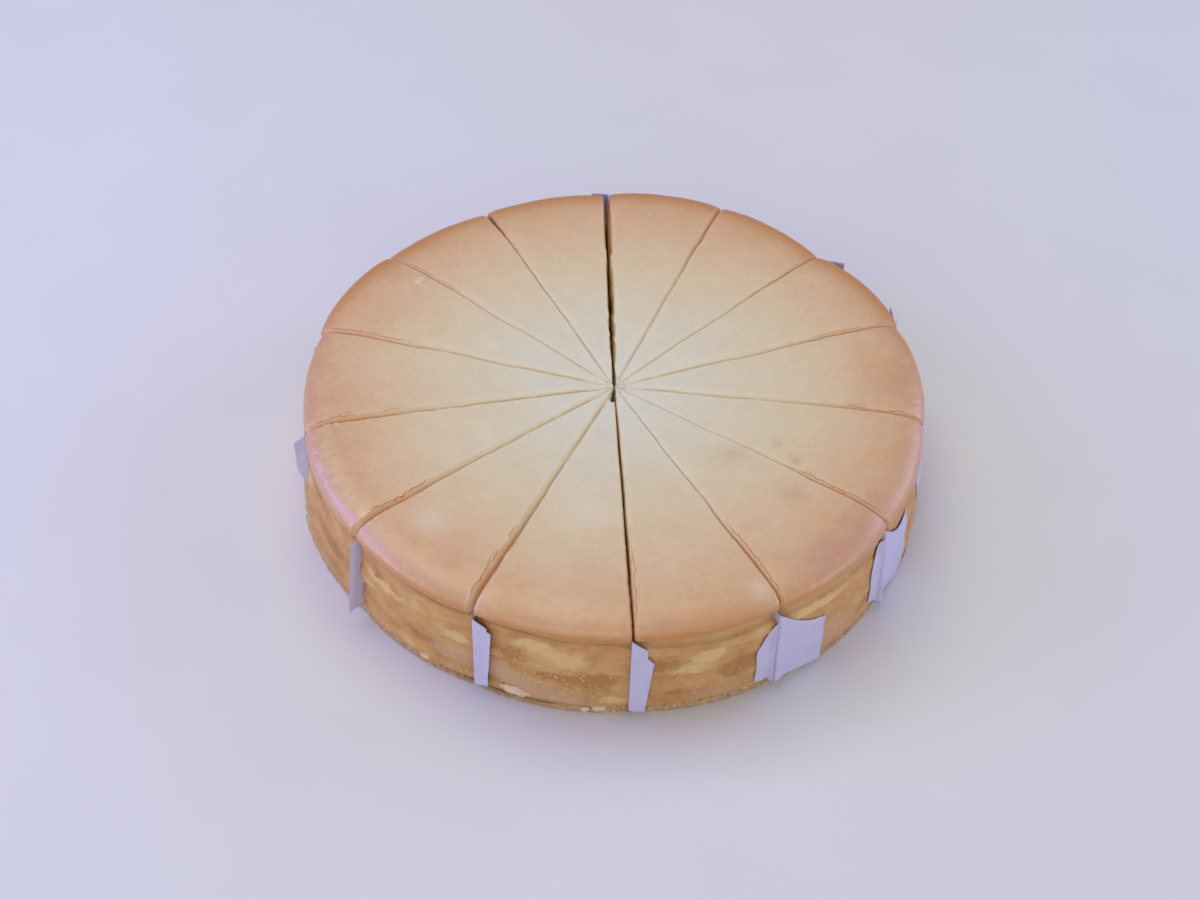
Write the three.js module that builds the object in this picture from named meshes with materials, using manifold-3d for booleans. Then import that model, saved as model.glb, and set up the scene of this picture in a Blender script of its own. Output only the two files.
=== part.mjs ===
// New York cheesecake, cut into slices that still stand together as the whole round.
// Each slice is a baked filling on a crumb base, and a folded slip of waxed paper stands in each cut.
// Millimetres, +Z up. The origin is on the cake's axis, at the level it stands on.
import * as THREE from 'three';
import { mergeVertices } from 'three/addons/utils/BufferGeometryUtils.js';
import Module from 'manifold-3d';

// Whole cake
const RIM_RADIUS = 127;
const CREST_HEIGHT = 55;
const CREST_RADIUS = 112;
const CENTRE_SAG = 2;
const TIP_WIDTH = 0.45;

// Rolled rim and the side under it
const CREASE_HEIGHT = 46;
const CREASE_RADIUS = 125.2;
const SIDE_FOOT_RADIUS = 125.6;
const SIDE_BELLY = 0.5;
const WRINKLE_DEPTH = 0.45;
const WRINKLE_PITCH = 13;
const WRINKLE_SWAY = 0.8;
const WAIST_SHARE = 0.55;

// Crumb base
const BASE_THICKNESS = 4.8;
const BASE_RADIUS = 126;
const BASE_LIP = 0.7;
const BASE_BELLY_SHARE = 0.3;
const BASE_EDGE_SHARE = 0.7;
const BASE_RAGGED = 0.5;
const LAYER_GAP = 0.3;

// Cuts
const FIRST_CUT_DEG = 93.6;
const KERF = 0.9;
const WIDE_KERF = 2;
const NOTCH_EASE = 0.7;
const SHOULDER_DROP = 0.9;
const SHOULDER_SHARPNESS = 8;
const INNER_SHOULDER_SHARE = 0.4;
const LIFT_SPREAD = 0.4;

// Paper slips
const SLIP_THICKNESS = 0.3;
const SLIP_INNER_RADIUS = 22;
const SLIP_FOOT = 4;
const SLIP_TOP = 46;
const FOLD_RADIUS = 1;
const FOLD_REACH = 1.6;
const PLY_STEP = 0.26;
const PLY_OVERLAP = 3;
const OUTER_PLY_SHARE = 0.7;

// Steps of the faceted surfaces
const SLICE_STEPS = 10;
const SIDE_STEPS = 8;
const CURVE_STEPS = 6;
const FOLD_STEPS = 3;
const FLAP_STEPS = 4;

// One row for each cut, clockwise from the far side, with the slice that follows it.
// drift: degrees off even spacing. notch, bulge: rim radius at the cut and at the slice's middle.
// flare: how much further out the foot stands. plies: paper that comes out of the cut. side +1 turns
// anticlockwise, lean is degrees away from straight out, and top and foot give heights at the fold
// and at the free end. dip hollows the upper edge, and spread sets the ply's foot out.
const CUTS = [
  { drift: -0.3, notch: -1.8, bulge: 2.2, flare: 0, kerf: WIDE_KERF, plies: [
    { side: 1, lean: 84, length: 7, top: [51.5, 51], foot: [5, 7] }] },
  { drift: 1.1, notch: -0.4, bulge: -0.2, flare: 0.6, kerf: KERF, plies: [
    { side: -1, lean: 84, length: 7, top: [45, 42], foot: [5, 7] }] },
  { drift: 2.6, notch: -4, bulge: 1.2, flare: 1.5, kerf: KERF, plies: [
    { side: -1, lean: 58, length: 11, top: [49.5, 50.2], foot: [6, 9], spread: 1.5 }] },
  { drift: 3.8, notch: -1.2, bulge: 0.4, flare: 3, kerf: KERF, plies: [
    { side: 1, lean: 76, length: 15, top: [49, 49], foot: [6, 8], spread: 2.5 },
    { side: 1, lean: 62, length: 10, top: [46, 49.5], foot: [7, 9], spread: 2.5 }] },
  { drift: 3.6, notch: -1.8, bulge: 0.2, flare: 4.4, kerf: KERF, plies: [
    { side: 1, lean: 82, length: 8, top: [49, 46], foot: [9, 10], spread: 4 },
    { side: -1, lean: 78, length: 7, top: [48, 42], foot: [10, 14], spread: 4 }] },
  { drift: 2.9, notch: -1.2, bulge: 0.3, flare: 1.6, kerf: KERF, plies: [
    { side: 1, lean: 88, length: 24, top: [46, 36], foot: [3, 1.5], dip: 6, spread: 2.6 },
    { side: -1, lean: 80, length: 5, top: [43, 33], foot: [4, 9], spread: 2 }] },
  { drift: 1, notch: -1.2, bulge: 0.2, flare: 0.8, kerf: KERF, plies: [
    { side: 1, lean: 88, length: 23, top: [43, 28], foot: [4, 1.5], dip: 3, spread: 1.8 },
    { side: -1, lean: 78, length: 7.5, top: [40, 25], foot: [4, 6], spread: 1.8 }] },
  { drift: 1.1, notch: -1, bulge: 0.4, flare: 0, kerf: KERF, plies: [
    { side: 1, lean: 90, length: 5.5, top: [46.5, 41], foot: [4, 3] },
    { side: 1, lean: 87, length: 8, top: [44, 33], foot: [5, 3.5] }] },
  { drift: -0.5, notch: -1.2, bulge: 0.2, flare: 0, kerf: KERF, plies: [
    { side: 1, lean: 90, length: 5.5, top: [44.5, 41.5], foot: [4, 6] },
    { side: 1, lean: 87, length: 7.3, top: [43, 39], foot: [5, 7] }] },
  { drift: -2, notch: -1, bulge: 0.3, flare: 0.6, kerf: KERF, plies: [
    { side: -1, lean: 30, length: 2.5, top: [45, 43], foot: [7, 5], spread: 3 }] },
  { drift: -2.4, notch: -0.6, bulge: -0.3, flare: 5, kerf: KERF, plies: [
    { side: -1, lean: 14, length: 4.4, top: [49.5, 44], foot: [18, 29] }] },
  { drift: -3, notch: -0.6, bulge: 1.7, flare: 4.4, kerf: KERF, plies: [
    { side: 1, lean: 20, length: 3.1, top: [46, 42], foot: [20, 30] }] },
  { drift: -2, notch: -0.6, bulge: -0.8, flare: 2, kerf: KERF, plies: [
    { side: 1, lean: 84, length: 7, top: [44, 42], foot: [5, 7], spread: 2 }] },
  { drift: -0.1, notch: -1.6, bulge: -0.5, flare: 0.6, kerf: KERF, plies: [
    { side: -1, lean: 84, length: 6, top: [47, 46], foot: [6, 8] }] },
];
const CUT_STEP_DEG = 360 / CUTS.length;

// Steady draw between -1 and 1 for a whole number
function steadyDraw(seed) {
  return 2 * THREE.MathUtils.seededRandom(seed) - 1;
}

// Heading of a cut, in radians, counted clockwise and never wrapped
function cutHeading(index) {
  const row = CUTS[index % CUTS.length];
  return THREE.MathUtils.degToRad(FIRST_CUT_DEG - index * CUT_STEP_DEG + row.drift);
}

// Angle that half a cut's width takes up at a radius
function kerfAngle(index, radius) {
  return Math.asin(CUTS[index % CUTS.length].kerf / 2 / radius);
}

// Where a slice's blunt tip starts: its two cut faces are there a tip's width apart
function tipRadius(index) {
  const kerfs = (CUTS[index].kerf + CUTS[(index + 1) % CUTS.length].kerf) / 2;
  const spread = cutHeading(index) - cutHeading(index + 1);
  return (kerfs + TIP_WIDTH) / (2 * Math.sin(spread / 2));
}

// Rim radius of a slice at a share of its width: notched at the cuts, full between them
function rimOffset(index, share) {
  const start = CUTS[index].notch;
  const end = CUTS[(index + 1) % CUTS.length].notch;
  const notch = THREE.MathUtils.lerp(start, end, share);
  const swell = Math.sin(Math.PI * share) ** NOTCH_EASE;
  return notch + (CUTS[index].bulge - (start + end) / 2) * swell;
}

// How far the flared foot stands out at a height of the side, at a share of a slice's width
function footOffset(index, height, share) {
  const start = CUTS[index].flare;
  const end = CUTS[(index + 1) % CUTS.length].flare;
  return THREE.MathUtils.lerp(start, end, share) * Math.max(1 - height / CREASE_HEIGHT, 0);
}

// Section of the filling, radius across and height up, on the even round before it is bent
function fillingSection(tip) {
  const foot = BASE_THICKNESS + LAYER_GAP;
  const section = new THREE.Shape();
  section.moveTo(tip, foot);
  section.lineTo(SIDE_FOOT_RADIUS, foot);
  for (let step = 1; step <= SIDE_STEPS; step++) {
    const share = step / SIDE_STEPS;
    const belly = SIDE_BELLY * Math.sin(Math.PI * share);
    const radius = THREE.MathUtils.lerp(SIDE_FOOT_RADIUS, CREASE_RADIUS, share) + belly;
    section.lineTo(radius, THREE.MathUtils.lerp(foot, CREASE_HEIGHT, share));
  }
  const widest = (CREASE_HEIGHT + CREST_HEIGHT) / 2;
  section.quadraticCurveTo(RIM_RADIUS, CREASE_HEIGHT, RIM_RADIUS, widest);
  section.quadraticCurveTo(RIM_RADIUS, CREST_HEIGHT, CREST_RADIUS, CREST_HEIGHT);
  const shoulder = CREST_RADIUS * WAIST_SHARE;
  section.quadraticCurveTo(shoulder, CREST_HEIGHT, tip, CREST_HEIGHT - CENTRE_SAG);
  return section;
}

// Section of the crumb base: flat below, with a blunt ragged edge
function baseSection(tip) {
  const section = new THREE.Shape();
  section.moveTo(tip, 0);
  section.lineTo(BASE_RADIUS - BASE_LIP, 0);
  section.lineTo(BASE_RADIUS, BASE_THICKNESS * BASE_BELLY_SHARE);
  section.lineTo(BASE_RADIUS - BASE_LIP / 2, BASE_THICKNESS * BASE_EDGE_SHARE);
  section.lineTo(BASE_RADIUS - BASE_LIP, BASE_THICKNESS);
  section.lineTo(tip, BASE_THICKNESS);
  return section;
}

// Heading at a share of a slice's width, clear of the cuts on both sides
function sliceHeading(index, radius, share) {
  const start = cutHeading(index) - kerfAngle(index, radius);
  const end = cutHeading(index + 1) + kerfAngle(index + 1, radius);
  return THREE.MathUtils.lerp(start, end, share);
}

// A section drawn out into a wedge round the axis, each point then eased by settle
function bendWedge(section, index, settle) {
  const settings = { depth: 1, steps: SLICE_STEPS, curveSegments: CURVE_STEPS, bevelEnabled: false };
  const geometry = new THREE.ExtrudeGeometry(section, settings);
  const position = geometry.attributes.position;
  for (let i = 0; i < position.count; i++) {
    const share = position.getZ(i);
    const eased = settle(position.getX(i), position.getY(i), share);
    const heading = sliceHeading(index, eased.radius, share);
    const x = eased.radius * Math.cos(heading);
    const y = eased.radius * Math.sin(heading);
    position.setXYZ(i, x, y, eased.height);
  }
  return weld(geometry);
}

// Only the places of the vertices, with the shared ones joined
function weld(geometry) {
  geometry.deleteAttribute('normal');
  geometry.deleteAttribute('uv');
  const welded = mergeVertices(geometry);
  welded.computeVertexNormals();
  return welded;
}

// How far out a point is felt by the rim: none inside half the radius, all at the side
function rimShare(radius) {
  return THREE.MathUtils.smoothstep(radius, RIM_RADIUS * WAIST_SHARE, CREST_RADIUS);
}

function fillingGeometry(index) {
  const lift = LIFT_SPREAD * steadyDraw(index);
  const foot = BASE_THICKNESS + LAYER_GAP;
  return bendWedge(fillingSection(tipRadius(index)), index, (radius, height, share) => {
    const outer = rimShare(radius);
    const rise = THREE.MathUtils.smoothstep(height, foot, CREST_HEIGHT);
    const edge = Math.abs(2 * share - 1) ** SHOULDER_SHARPNESS;
    const drop = SHOULDER_DROP * edge * THREE.MathUtils.lerp(INNER_SHOULDER_SHARE, 1, outer);
    const onSide = radius > CREST_RADIUS && height < CREASE_HEIGHT && height > foot;
    const sway = WRINKLE_SWAY * Math.sin(Math.PI * 2 * share + index);
    const wrinkle = onSide ? Math.sin(Math.PI * 2 * height / WRINKLE_PITCH + sway) : 0;
    const offset = rimOffset(index, share) + footOffset(index, height, share);
    return {
      radius: radius + outer * offset + WRINKLE_DEPTH * wrinkle,
      height: height + rise * (lift - drop),
    };
  });
}

function baseGeometry(index) {
  return bendWedge(baseSection(tipRadius(index)), index, (radius, height, share) => {
    const outer = rimShare(radius);
    const place = index * SLICE_STEPS + Math.round(share * SLICE_STEPS);
    const ragged = height > 0 ? BASE_RAGGED * steadyDraw(place) : 0;
    const offset = rimOffset(index, share) + footOffset(index, height, share);
    return {
      radius: radius + outer * (offset + ragged),
      height,
    };
  });
}

// Middle line of one ply seen from above, out along the cut, round the fold and along its flap
function plyLine(ply, innerRadius, foldRadius) {
  const lean = THREE.MathUtils.degToRad(ply.lean);
  const line = [new THREE.Vector2(innerRadius, 0)];
  const bendStart = foldRadius - FOLD_RADIUS;
  for (let step = 0; step <= FOLD_STEPS; step++) {
    const turn = lean * step / FOLD_STEPS;
    const x = bendStart + FOLD_RADIUS * Math.sin(turn);
    const y = ply.side * FOLD_RADIUS * (1 - Math.cos(turn));
    line.push(new THREE.Vector2(x, y));
  }
  const bendEnd = line[line.length - 1];
  const along = new THREE.Vector2(Math.cos(lean), ply.side * Math.sin(lean));
  for (let step = 1; step <= FLAP_STEPS; step++) {
    const reach = ply.length * step / FLAP_STEPS;
    line.push(bendEnd.clone().addScaledVector(along, reach));
  }
  return line;
}

// Outline of a line given an even thickness
function thickOutline(line, thickness) {
  const left = [];
  const right = [];
  line.forEach((point, i) => {
    const before = line[Math.max(i - 1, 0)];
    const after = line[Math.min(i + 1, line.length - 1)];
    const along = after.clone().sub(before).normalize();
    const across = new THREE.Vector2(-along.y, along.x).multiplyScalar(thickness / 2);
    left.push(point.clone().add(across));
    right.push(point.clone().sub(across));
  });
  return new THREE.Shape(right.concat(left.reverse()));
}

// One ply: a strip on edge whose upper and lower edges run off along its flap, with its foot set out
function plyGeometry(ply, innerRadius, foldRadius, thickness) {
  const outline = thickOutline(plyLine(ply, innerRadius, foldRadius), thickness);
  const geometry = new THREE.ExtrudeGeometry(outline, { depth: 1, bevelEnabled: false });
  const position = geometry.attributes.position;
  const bendStart = foldRadius - FOLD_RADIUS;
  for (let i = 0; i < position.count; i++) {
    const x = position.getX(i);
    const y = position.getY(i);
    const out = x < bendStart ? 0 : Math.hypot(x - bendStart, y);
    const share = Math.min(out / (ply.length + FOLD_RADIUS), 1);
    const dip = (ply.dip ?? 0) * Math.sin(Math.PI * share);
    const top = THREE.MathUtils.lerp(ply.top[0], ply.top[1], share) - dip;
    const foot = THREE.MathUtils.lerp(ply.foot[0], ply.foot[1], share);
    const inside = x <= innerRadius + thickness;
    const upper = inside ? Math.min(SLIP_TOP, top) : top;
    const lower = inside ? SLIP_FOOT : foot;
    const height = position.getZ(i) > 0.5 ? upper : lower;
    const reach = (ply.spread ?? 0) * Math.max(1 - height / CREASE_HEIGHT, 0);
    position.setX(i, x + reach * Math.min(out / FOLD_RADIUS, 1));
    position.setZ(i, height);
  }
  return weld(geometry);
}

const wasm = await Module();
wasm.setup();

function toSolid(geometry) {
  const vertProperties = new Float32Array(geometry.attributes.position.array);
  const triVerts = new Uint32Array(geometry.index.array);
  return new wasm.Manifold(new wasm.Mesh({ numProp: 3, vertProperties, triVerts }));
}

function toGeometry(solid) {
  const mesh = solid.getMesh();
  const geometry = new THREE.BufferGeometry();
  geometry.setAttribute('position', new THREE.BufferAttribute(mesh.vertProperties, mesh.numProp));
  geometry.setIndex(new THREE.BufferAttribute(mesh.triVerts, 1));
  geometry.computeVertexNormals();
  return geometry;
}

// A paper slip in the frame of its cut, +X straight out: its plies joined where they are folded together
function slipGeometry(row) {
  const foldRadius = RIM_RADIUS + row.notch + FOLD_REACH;
  const solids = row.plies.map((ply, i) => {
    const inner = i === 0 ? SLIP_INNER_RADIUS : foldRadius - FOLD_RADIUS - PLY_OVERLAP;
    const thickness = i === 0 ? SLIP_THICKNESS : SLIP_THICKNESS * OUTER_PLY_SHARE;
    const sameSide = i > 0 && ply.side === row.plies[0].side;
    const fold = foldRadius + (sameSide ? PLY_STEP : 0);
    return toSolid(plyGeometry(ply, inner, fold, thickness));
  });
  return toGeometry(solids.reduce((whole, ply) => whole.add(ply)));
}

const FILLING = new THREE.MeshStandardMaterial({ color: 0xe3b277, roughness: 0.5, metalness: 0 });
const CRUMB = new THREE.MeshStandardMaterial({ color: 0xb28f62, roughness: 0.9, metalness: 0 });
const PAPER = new THREE.MeshStandardMaterial({ color: 0xdcd3da, roughness: 0.55, metalness: 0 });

function namedMesh(name, number, geometry, material) {
  const mesh = new THREE.Mesh(geometry, material.clone());
  mesh.name = `${name}_${String(number).padStart(2, '0')}`;
  return mesh;
}

const cake = new THREE.Group();
CUTS.forEach((row, index) => {
  const number = index + 1;
  cake.add(namedMesh('filling', number, fillingGeometry(index), FILLING));
  cake.add(namedMesh('crumb_base', number, baseGeometry(index), CRUMB));
  const cut = new THREE.Group();
  cut.rotation.z = cutHeading(index);
  cut.add(namedMesh('paper_slip', number, slipGeometry(row), PAPER));
  cake.add(cut);
});

export default cake;
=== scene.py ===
"""New York cheesecake: fourteen baked slices on a crumb base, with folded paper slips in the cuts.

Each slice, crumb base and slip is grown by its own node tree from named sizes in millimetres,
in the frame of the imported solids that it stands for.
"""
import math

import bmesh
import bpy
from mathutils import Matrix, Quaternion, Vector
from mathutils.bvhtree import BVHTree


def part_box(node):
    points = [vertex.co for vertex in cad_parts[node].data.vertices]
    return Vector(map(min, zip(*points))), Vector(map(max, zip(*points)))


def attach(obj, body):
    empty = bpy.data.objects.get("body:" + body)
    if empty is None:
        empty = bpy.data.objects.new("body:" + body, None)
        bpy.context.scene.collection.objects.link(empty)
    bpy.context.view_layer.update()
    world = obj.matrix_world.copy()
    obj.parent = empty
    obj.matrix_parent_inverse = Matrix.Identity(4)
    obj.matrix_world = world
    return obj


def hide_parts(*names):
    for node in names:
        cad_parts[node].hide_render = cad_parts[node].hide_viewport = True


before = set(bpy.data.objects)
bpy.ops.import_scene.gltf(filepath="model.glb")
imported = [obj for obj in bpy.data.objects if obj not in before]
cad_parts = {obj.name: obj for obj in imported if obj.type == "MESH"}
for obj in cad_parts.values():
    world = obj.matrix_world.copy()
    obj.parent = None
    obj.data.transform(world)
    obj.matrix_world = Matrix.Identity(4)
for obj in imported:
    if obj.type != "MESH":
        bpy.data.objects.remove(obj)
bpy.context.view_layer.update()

MM = 0.001

# Whole cake
RIM_RADIUS = 127.0
CREST_HEIGHT = 55.0
CREST_RADIUS = 108.0
ROLL_INSET = 1.2
CENTRE_SAG = 2.0
TOP_RELIEF = 0.5
WAIST_SHARE = 0.55
TIP_WIDTH = 0.1

# Rolled rim and the side under it
CREASE_HEIGHT = 47.2
CREASE_RADIUS = 124.7
LIP_HEIGHT = 46.3
LIP_RADIUS = 126.7
LIP_SWELL = 127.4
LIP_ROUND = 0.9
WIDEST_HEIGHT = 49.9
SIDE_FOOT_RADIUS = 125.6
SIDE_BELLY = 0.5
WRINKLE_DEPTH = 0.3
WRINKLE_PITCH = 13.0
STRETCH = 4.0

# Crumb base
BASE_THICKNESS = 4.8
BASE_RADIUS = 125.6
BASE_LIP = 0.7
LAYER_GAP = 0.05
FOOT = BASE_THICKNESS + LAYER_GAP

# Cuts
FIRST_CUT_DEG = 93.6
NOTCH_EASE = 0.32
SHOULDER_DROP = 0.35
SHOULDER_SHARPNESS = 10.0
INNER_SHOULDER_SHARE = 0.4
CLOSED_GAP = 0.04
INNER_GROOVE_DEPTH = 0.7
OUTER_GROOVE_DEPTH = 1.4
GROOVE_ROUND = 1.6
SIDE_GROOVE_SHARE = 0.2
CRACK_DEPTH = 0.22

# Sheen on the rim: headings of the two places that shine and how far each runs, and the coat that gives it
LEFT_SHEEN = (-154.0, 34.0)
RIGHT_SHEEN = (-18.0, 36.0)
COAT_ROUGHNESS = 0.39
COAT_IOR = 1.85

# Paper slips
SLIP_THICKNESS = 0.12
SLIP_INNER_RADIUS = 22.0
SLIP_FOOT = 4.0
SLIP_TOP = 41.0
FOLD_RADIUS = 0.6
FOLD_REACH = 0.9
PLY_STEP = 0.26
PRESS_GAP = 0.45
LEAST_GAP = 0.15

# Steps of the grown surfaces: under, side, lip, roll, top and tip of the filling, and round the base
FILLING_PARTS = [4, 90, 8, 46, 112, 6]
ROW_STEPS = 150
BASE_PARTS = [8, 22, 8, 2]
BASE_ROWS = 190
CAP_ROWS = 5
EDGE_CROWDING = 0.76
BASE_CROWDING = 0.2
TOP_CROWDING = 0.55


def ply(side, lean, length, top, foot, dip=0.0, spread=0.0, nip=0.0, curl=0.0, crimp=0.0, press=0.0):
    """A paper ply: side +1 turns anticlockwise, lean is degrees away from straight out, top and foot
    are heights at the fold and at the free end. dip hollows the upper edge, spread sets the foot out,
    nip shortens the foot, curl bends the flap on, crimp rolls its foot up and press lays it on the side."""
    return dict(side=side, lean=lean, length=length, top=top, foot=foot, dip=dip, spread=spread, nip=nip,
                curl=curl, crimp=crimp, press=press)


def cut(drift, notch, bulge, flare, plies, gap=CLOSED_GAP, mouth=CLOSED_GAP, groove=0.75,
        inner=(0.6, 0.6), outer=(1.2, 1.2), cracks=(0.0, 0.0), bend=0.0, sway=1.0, slump=(0.0, 0.0),
        slip_from=SLIP_INNER_RADIUS, slip_top=SLIP_TOP):
    """A cut: degrees off even spacing, what the rim's radius gains at the cut and at the middle of the
    slice after it, how far the foot flares, half its width inside and at the rim, and how deep its groove
    is. Then, on the slices before and after it, how wide the groove is in the middle and at the rim, how
    much the skin cracked and how much the wall slumps. bend is how far it turns anticlockwise at the rim,
    sway how much it strays, and slip_from and slip_top where its paper starts and ends inside it."""
    return dict(drift=drift, notch=notch, bulge=bulge, flare=flare, plies=plies, gap=gap, mouth=mouth,
                groove=groove, inner=inner, outer=outer, crack=cracks, bend=bend, sway=sway, slump=slump,
                slip_from=slip_from, slip_top=slip_top)


# One row for each cut, clockwise from the far side, with the slice that follows it
CUTS = [
    cut(-0.3, -2.0, 1.5, 0.0, [ply(1, 84, 7, (50.6, 50.2), (5, 7))],
        gap=1.5, mouth=1.2, groove=0.2, inner=(0.4, 0.4), outer=(0.6, 0.6), sway=0.15, slump=(0.85, 1.6),
        slip_from=119.0, slip_top=53.6),
    cut(1.1, -0.4, -0.2, 0.6, [ply(-1, 84, 7, (45, 42), (5, 7))],
        groove=0.7, inner=(1.3, 0.8), outer=(1.3, 0.6), cracks=(0.3, 0.1)),
    cut(2.6, -4.0, 1.2, 1.5, [ply(-1, 58, 11, (49.5, 50.2), (6, 9), spread=1.5)],
        groove=0.6, inner=(1.0, 0.5), outer=(0.8, 0.5), cracks=(0.35, 0.0)),
    cut(3.8, -1.2, 0.4, 3.0, [ply(1, 76, 15, (49, 49), (6, 8), spread=2.5),
                              ply(1, 62, 10, (46, 49.5), (7, 9), spread=2.5)],
        groove=0.7, inner=(1.9, 1.0), outer=(1.2, 0.6), cracks=(0.6, 0.1)),
    cut(3.6, -1.8, 0.2, 4.4, [ply(1, 82, 8, (49, 46), (9, 10), spread=4),
                              ply(-1, 97, 7, (48, 42), (10, 14), spread=4, press=0.85)],
        groove=0.7, inner=(1.9, 0.9), outer=(1.2, 0.6), cracks=(0.9, 0.1)),
    cut(2.9, -1.2, 0.3, 1.6, [ply(1, 93, 24, (46, 36), (3, 1.5), dip=6, spread=3.2, curl=8, press=0.85),
                              ply(-1, 91, 6, (43, 33), (4, 9), spread=1.4, press=0.85)],
        groove=0.6, inner=(0.35, 0.2), outer=(1.1, 0.5), cracks=(1.0, 0.2)),
    cut(1.0, -1.2, 0.2, 0.8, [ply(1, 93.5, 23, (43, 28), (4, 1.5), dip=3, spread=2.2, curl=8, press=0.7),
                              ply(-1, 90, 7.5, (40, 25), (4, 6), spread=1.4, press=0.85)],
        groove=0.8, inner=(0.5, 0.3), outer=(1.3, 0.6), cracks=(0.9, 0.3), bend=1.4),
    cut(1.1, -1.0, 0.4, 0.0, [ply(1, 90, 5.5, (46.5, 41), (4, 3)),
                              ply(1, 87, 8, (44, 33), (5, 3.5), nip=2.6)],
        gap=0.6, mouth=0.35, groove=0.5, inner=(0.5, 0.4), outer=(0.8, 0.7), cracks=(0.5, 0.15), sway=0.3,
        slump=(1.2, 1.2)),
    cut(-0.5, -1.2, 0.2, 0.0, [ply(1, 90, 5.5, (44.5, 41.5), (4, 6), crimp=1.2),
                               ply(1, 87, 7.3, (43, 39), (5, 7), nip=2.0)],
        groove=1.3, inner=(0.9, 1.9), outer=(0.7, 2.3), cracks=(0.4, 0.9), bend=-1.0),
    cut(-2.0, -1.0, 0.3, 0.6, [ply(-1, 20, 1.7, (45, 43), (7, 5), spread=5)],
        groove=1.0, inner=(0.9, 2.1), outer=(0.7, 2.3), cracks=(0.15, 1.0)),
    cut(-2.4, -0.6, -0.3, 5.0, [ply(-1, 14, 4.4, (49.5, 44), (17, 29))],
        groove=0.9, inner=(0.9, 2.0), outer=(0.7, 2.1), cracks=(0.1, 0.9)),
    cut(-3.0, -0.6, 1.7, 4.4, [ply(1, 20, 3.1, (46, 42), (20, 30))],
        groove=0.8, inner=(0.9, 1.9), outer=(0.6, 1.7), cracks=(0.0, 0.8)),
    cut(-2.0, -0.6, -0.8, 2.0, [ply(1, 84, 7, (44, 42), (5, 7), spread=2)],
        groove=0.6, inner=(0.5, 1.1), outer=(0.5, 1.3), cracks=(0.1, 0.5)),
    cut(-0.1, -1.9, -1.1, 0.6, [ply(-1, 84, 6, (47, 46), (6, 8))],
        mouth=0.8, groove=0.5, inner=(0.7, 1.0), outer=(0.5, 0.6), cracks=(0.1, 0.3), sway=0.6),
]
CUT_COUNT = len(CUTS)

# Ledges on the side, where skin has folded: headings where each starts and ends, its height at both,
# how far what lies above it stands out, and how high that part is
LEDGES = [
    dict(start=-89.0, end=-70.0, last=-34.0, low=42.6, high=39.4, step=-1.1, reach=14.0),
    dict(start=-88.0, end=-62.0, last=-36.0, low=37.0, high=33.6, step=1.1, reach=6.5),
    dict(start=-112.0, end=-96.0, last=-89.0, low=25.0, high=19.5, step=0.7, reach=9.0),
    dict(start=-146.0, end=-117.0, last=-113.0, low=21.0, high=34.0, step=1.0, reach=11.0),
    dict(start=10.0, end=40.0, last=70.0, low=33.0, high=38.0, step=0.9, reach=7.0),
    dict(start=96.0, end=130.0, last=170.0, low=24.0, high=31.0, step=0.9, reach=10.0),
]

# Marks on the side: heading, height, and half their size in degrees and in millimetres
SCRAPED = [
    (-102.0, 37.5, 3.6, 3.4), (-96.5, 32.0, 5.0, 5.0), (-71.6, 31.5, 4.5, 4.2), (-116.6, 27.0, 3.0, 4.0),
    (-133.0, 33.0, 6.5, 2.2), (-51.0, 36.0, 7.0, 3.6), (-88.6, 8.6, 3.6, 3.0), (-75.0, 24.5, 4.0, 3.4),
    (38.0, 27.0, 5.0, 4.0), (115.0, 34.0, 5.0, 3.5), (150.0, 18.0, 4.0, 5.0), (-165.0, 30.0, 4.0, 3.0),
]
FLOURED = [
    (-109.0, 19.0, 4.5, 6.0), (-103.0, 12.0, 7.0, 5.5), (-97.0, 8.0, 4.5, 3.4), (-117.5, 15.5, 4.0, 6.5),
    (-48.0, 13.0, 10.0, 8.0), (-70.0, 8.0, 6.0, 3.5), (70.0, 12.0, 8.0, 7.0), (165.0, 12.0, 8.0, 5.0),
]
BROWNED = [
    (-97.0, 21.5, 6.0, 3.0), (-106.0, 30.0, 4.0, 5.0), (-91.0, 20.0, 4.0, 7.0), (-80.0, 30.0, 4.0, 4.5),
    (-66.0, 20.0, 6.0, 5.0), (-124.0, 18.0, 6.0, 3.0), (-55.0, 24.0, 7.0, 4.0), (-150.0, 22.0, 8.0, 4.0),
    (20.0, 20.0, 8.0, 5.0), (55.0, 26.0, 7.0, 4.0), (100.0, 18.0, 8.0, 5.0), (140.0, 30.0, 8.0, 4.0),
]
CRUMBED = [
    (-98.0, 21.0, 6.0, 3.0), (-107.0, 24.0, 2.5, 4.0), (-102.0, 16.0, 6.0, 4.0), (-90.5, 4.0, 3.0, 3.5),
    (-118.0, 5.0, 4.0, 2.0), (-130.0, 6.0, 4.0, 2.5), (-111.0, 6.0, 6.0, 3.0), (-80.0, 4.0, 6.0, 2.5),
    (-75.0, 20.0, 6.0, 5.0), (-60.0, 8.0, 9.0, 4.0), (25.0, 8.0, 9.0, 5.0), (75.0, 18.0, 8.0, 6.0),
    (125.0, 9.0, 9.0, 5.0), (160.0, 16.0, 8.0, 6.0),
]
# Where the crumb base has broken away under the filling, and how deep; the same places get painted shade
BROKEN = [(-111.0, 4.8, 6.0, 2.2), (-101.0, 4.8, 3.0, 1.6), (-14.0, 4.4, 17.0, 1.6)]
BROKEN_DEPTH = 2.4

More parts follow.
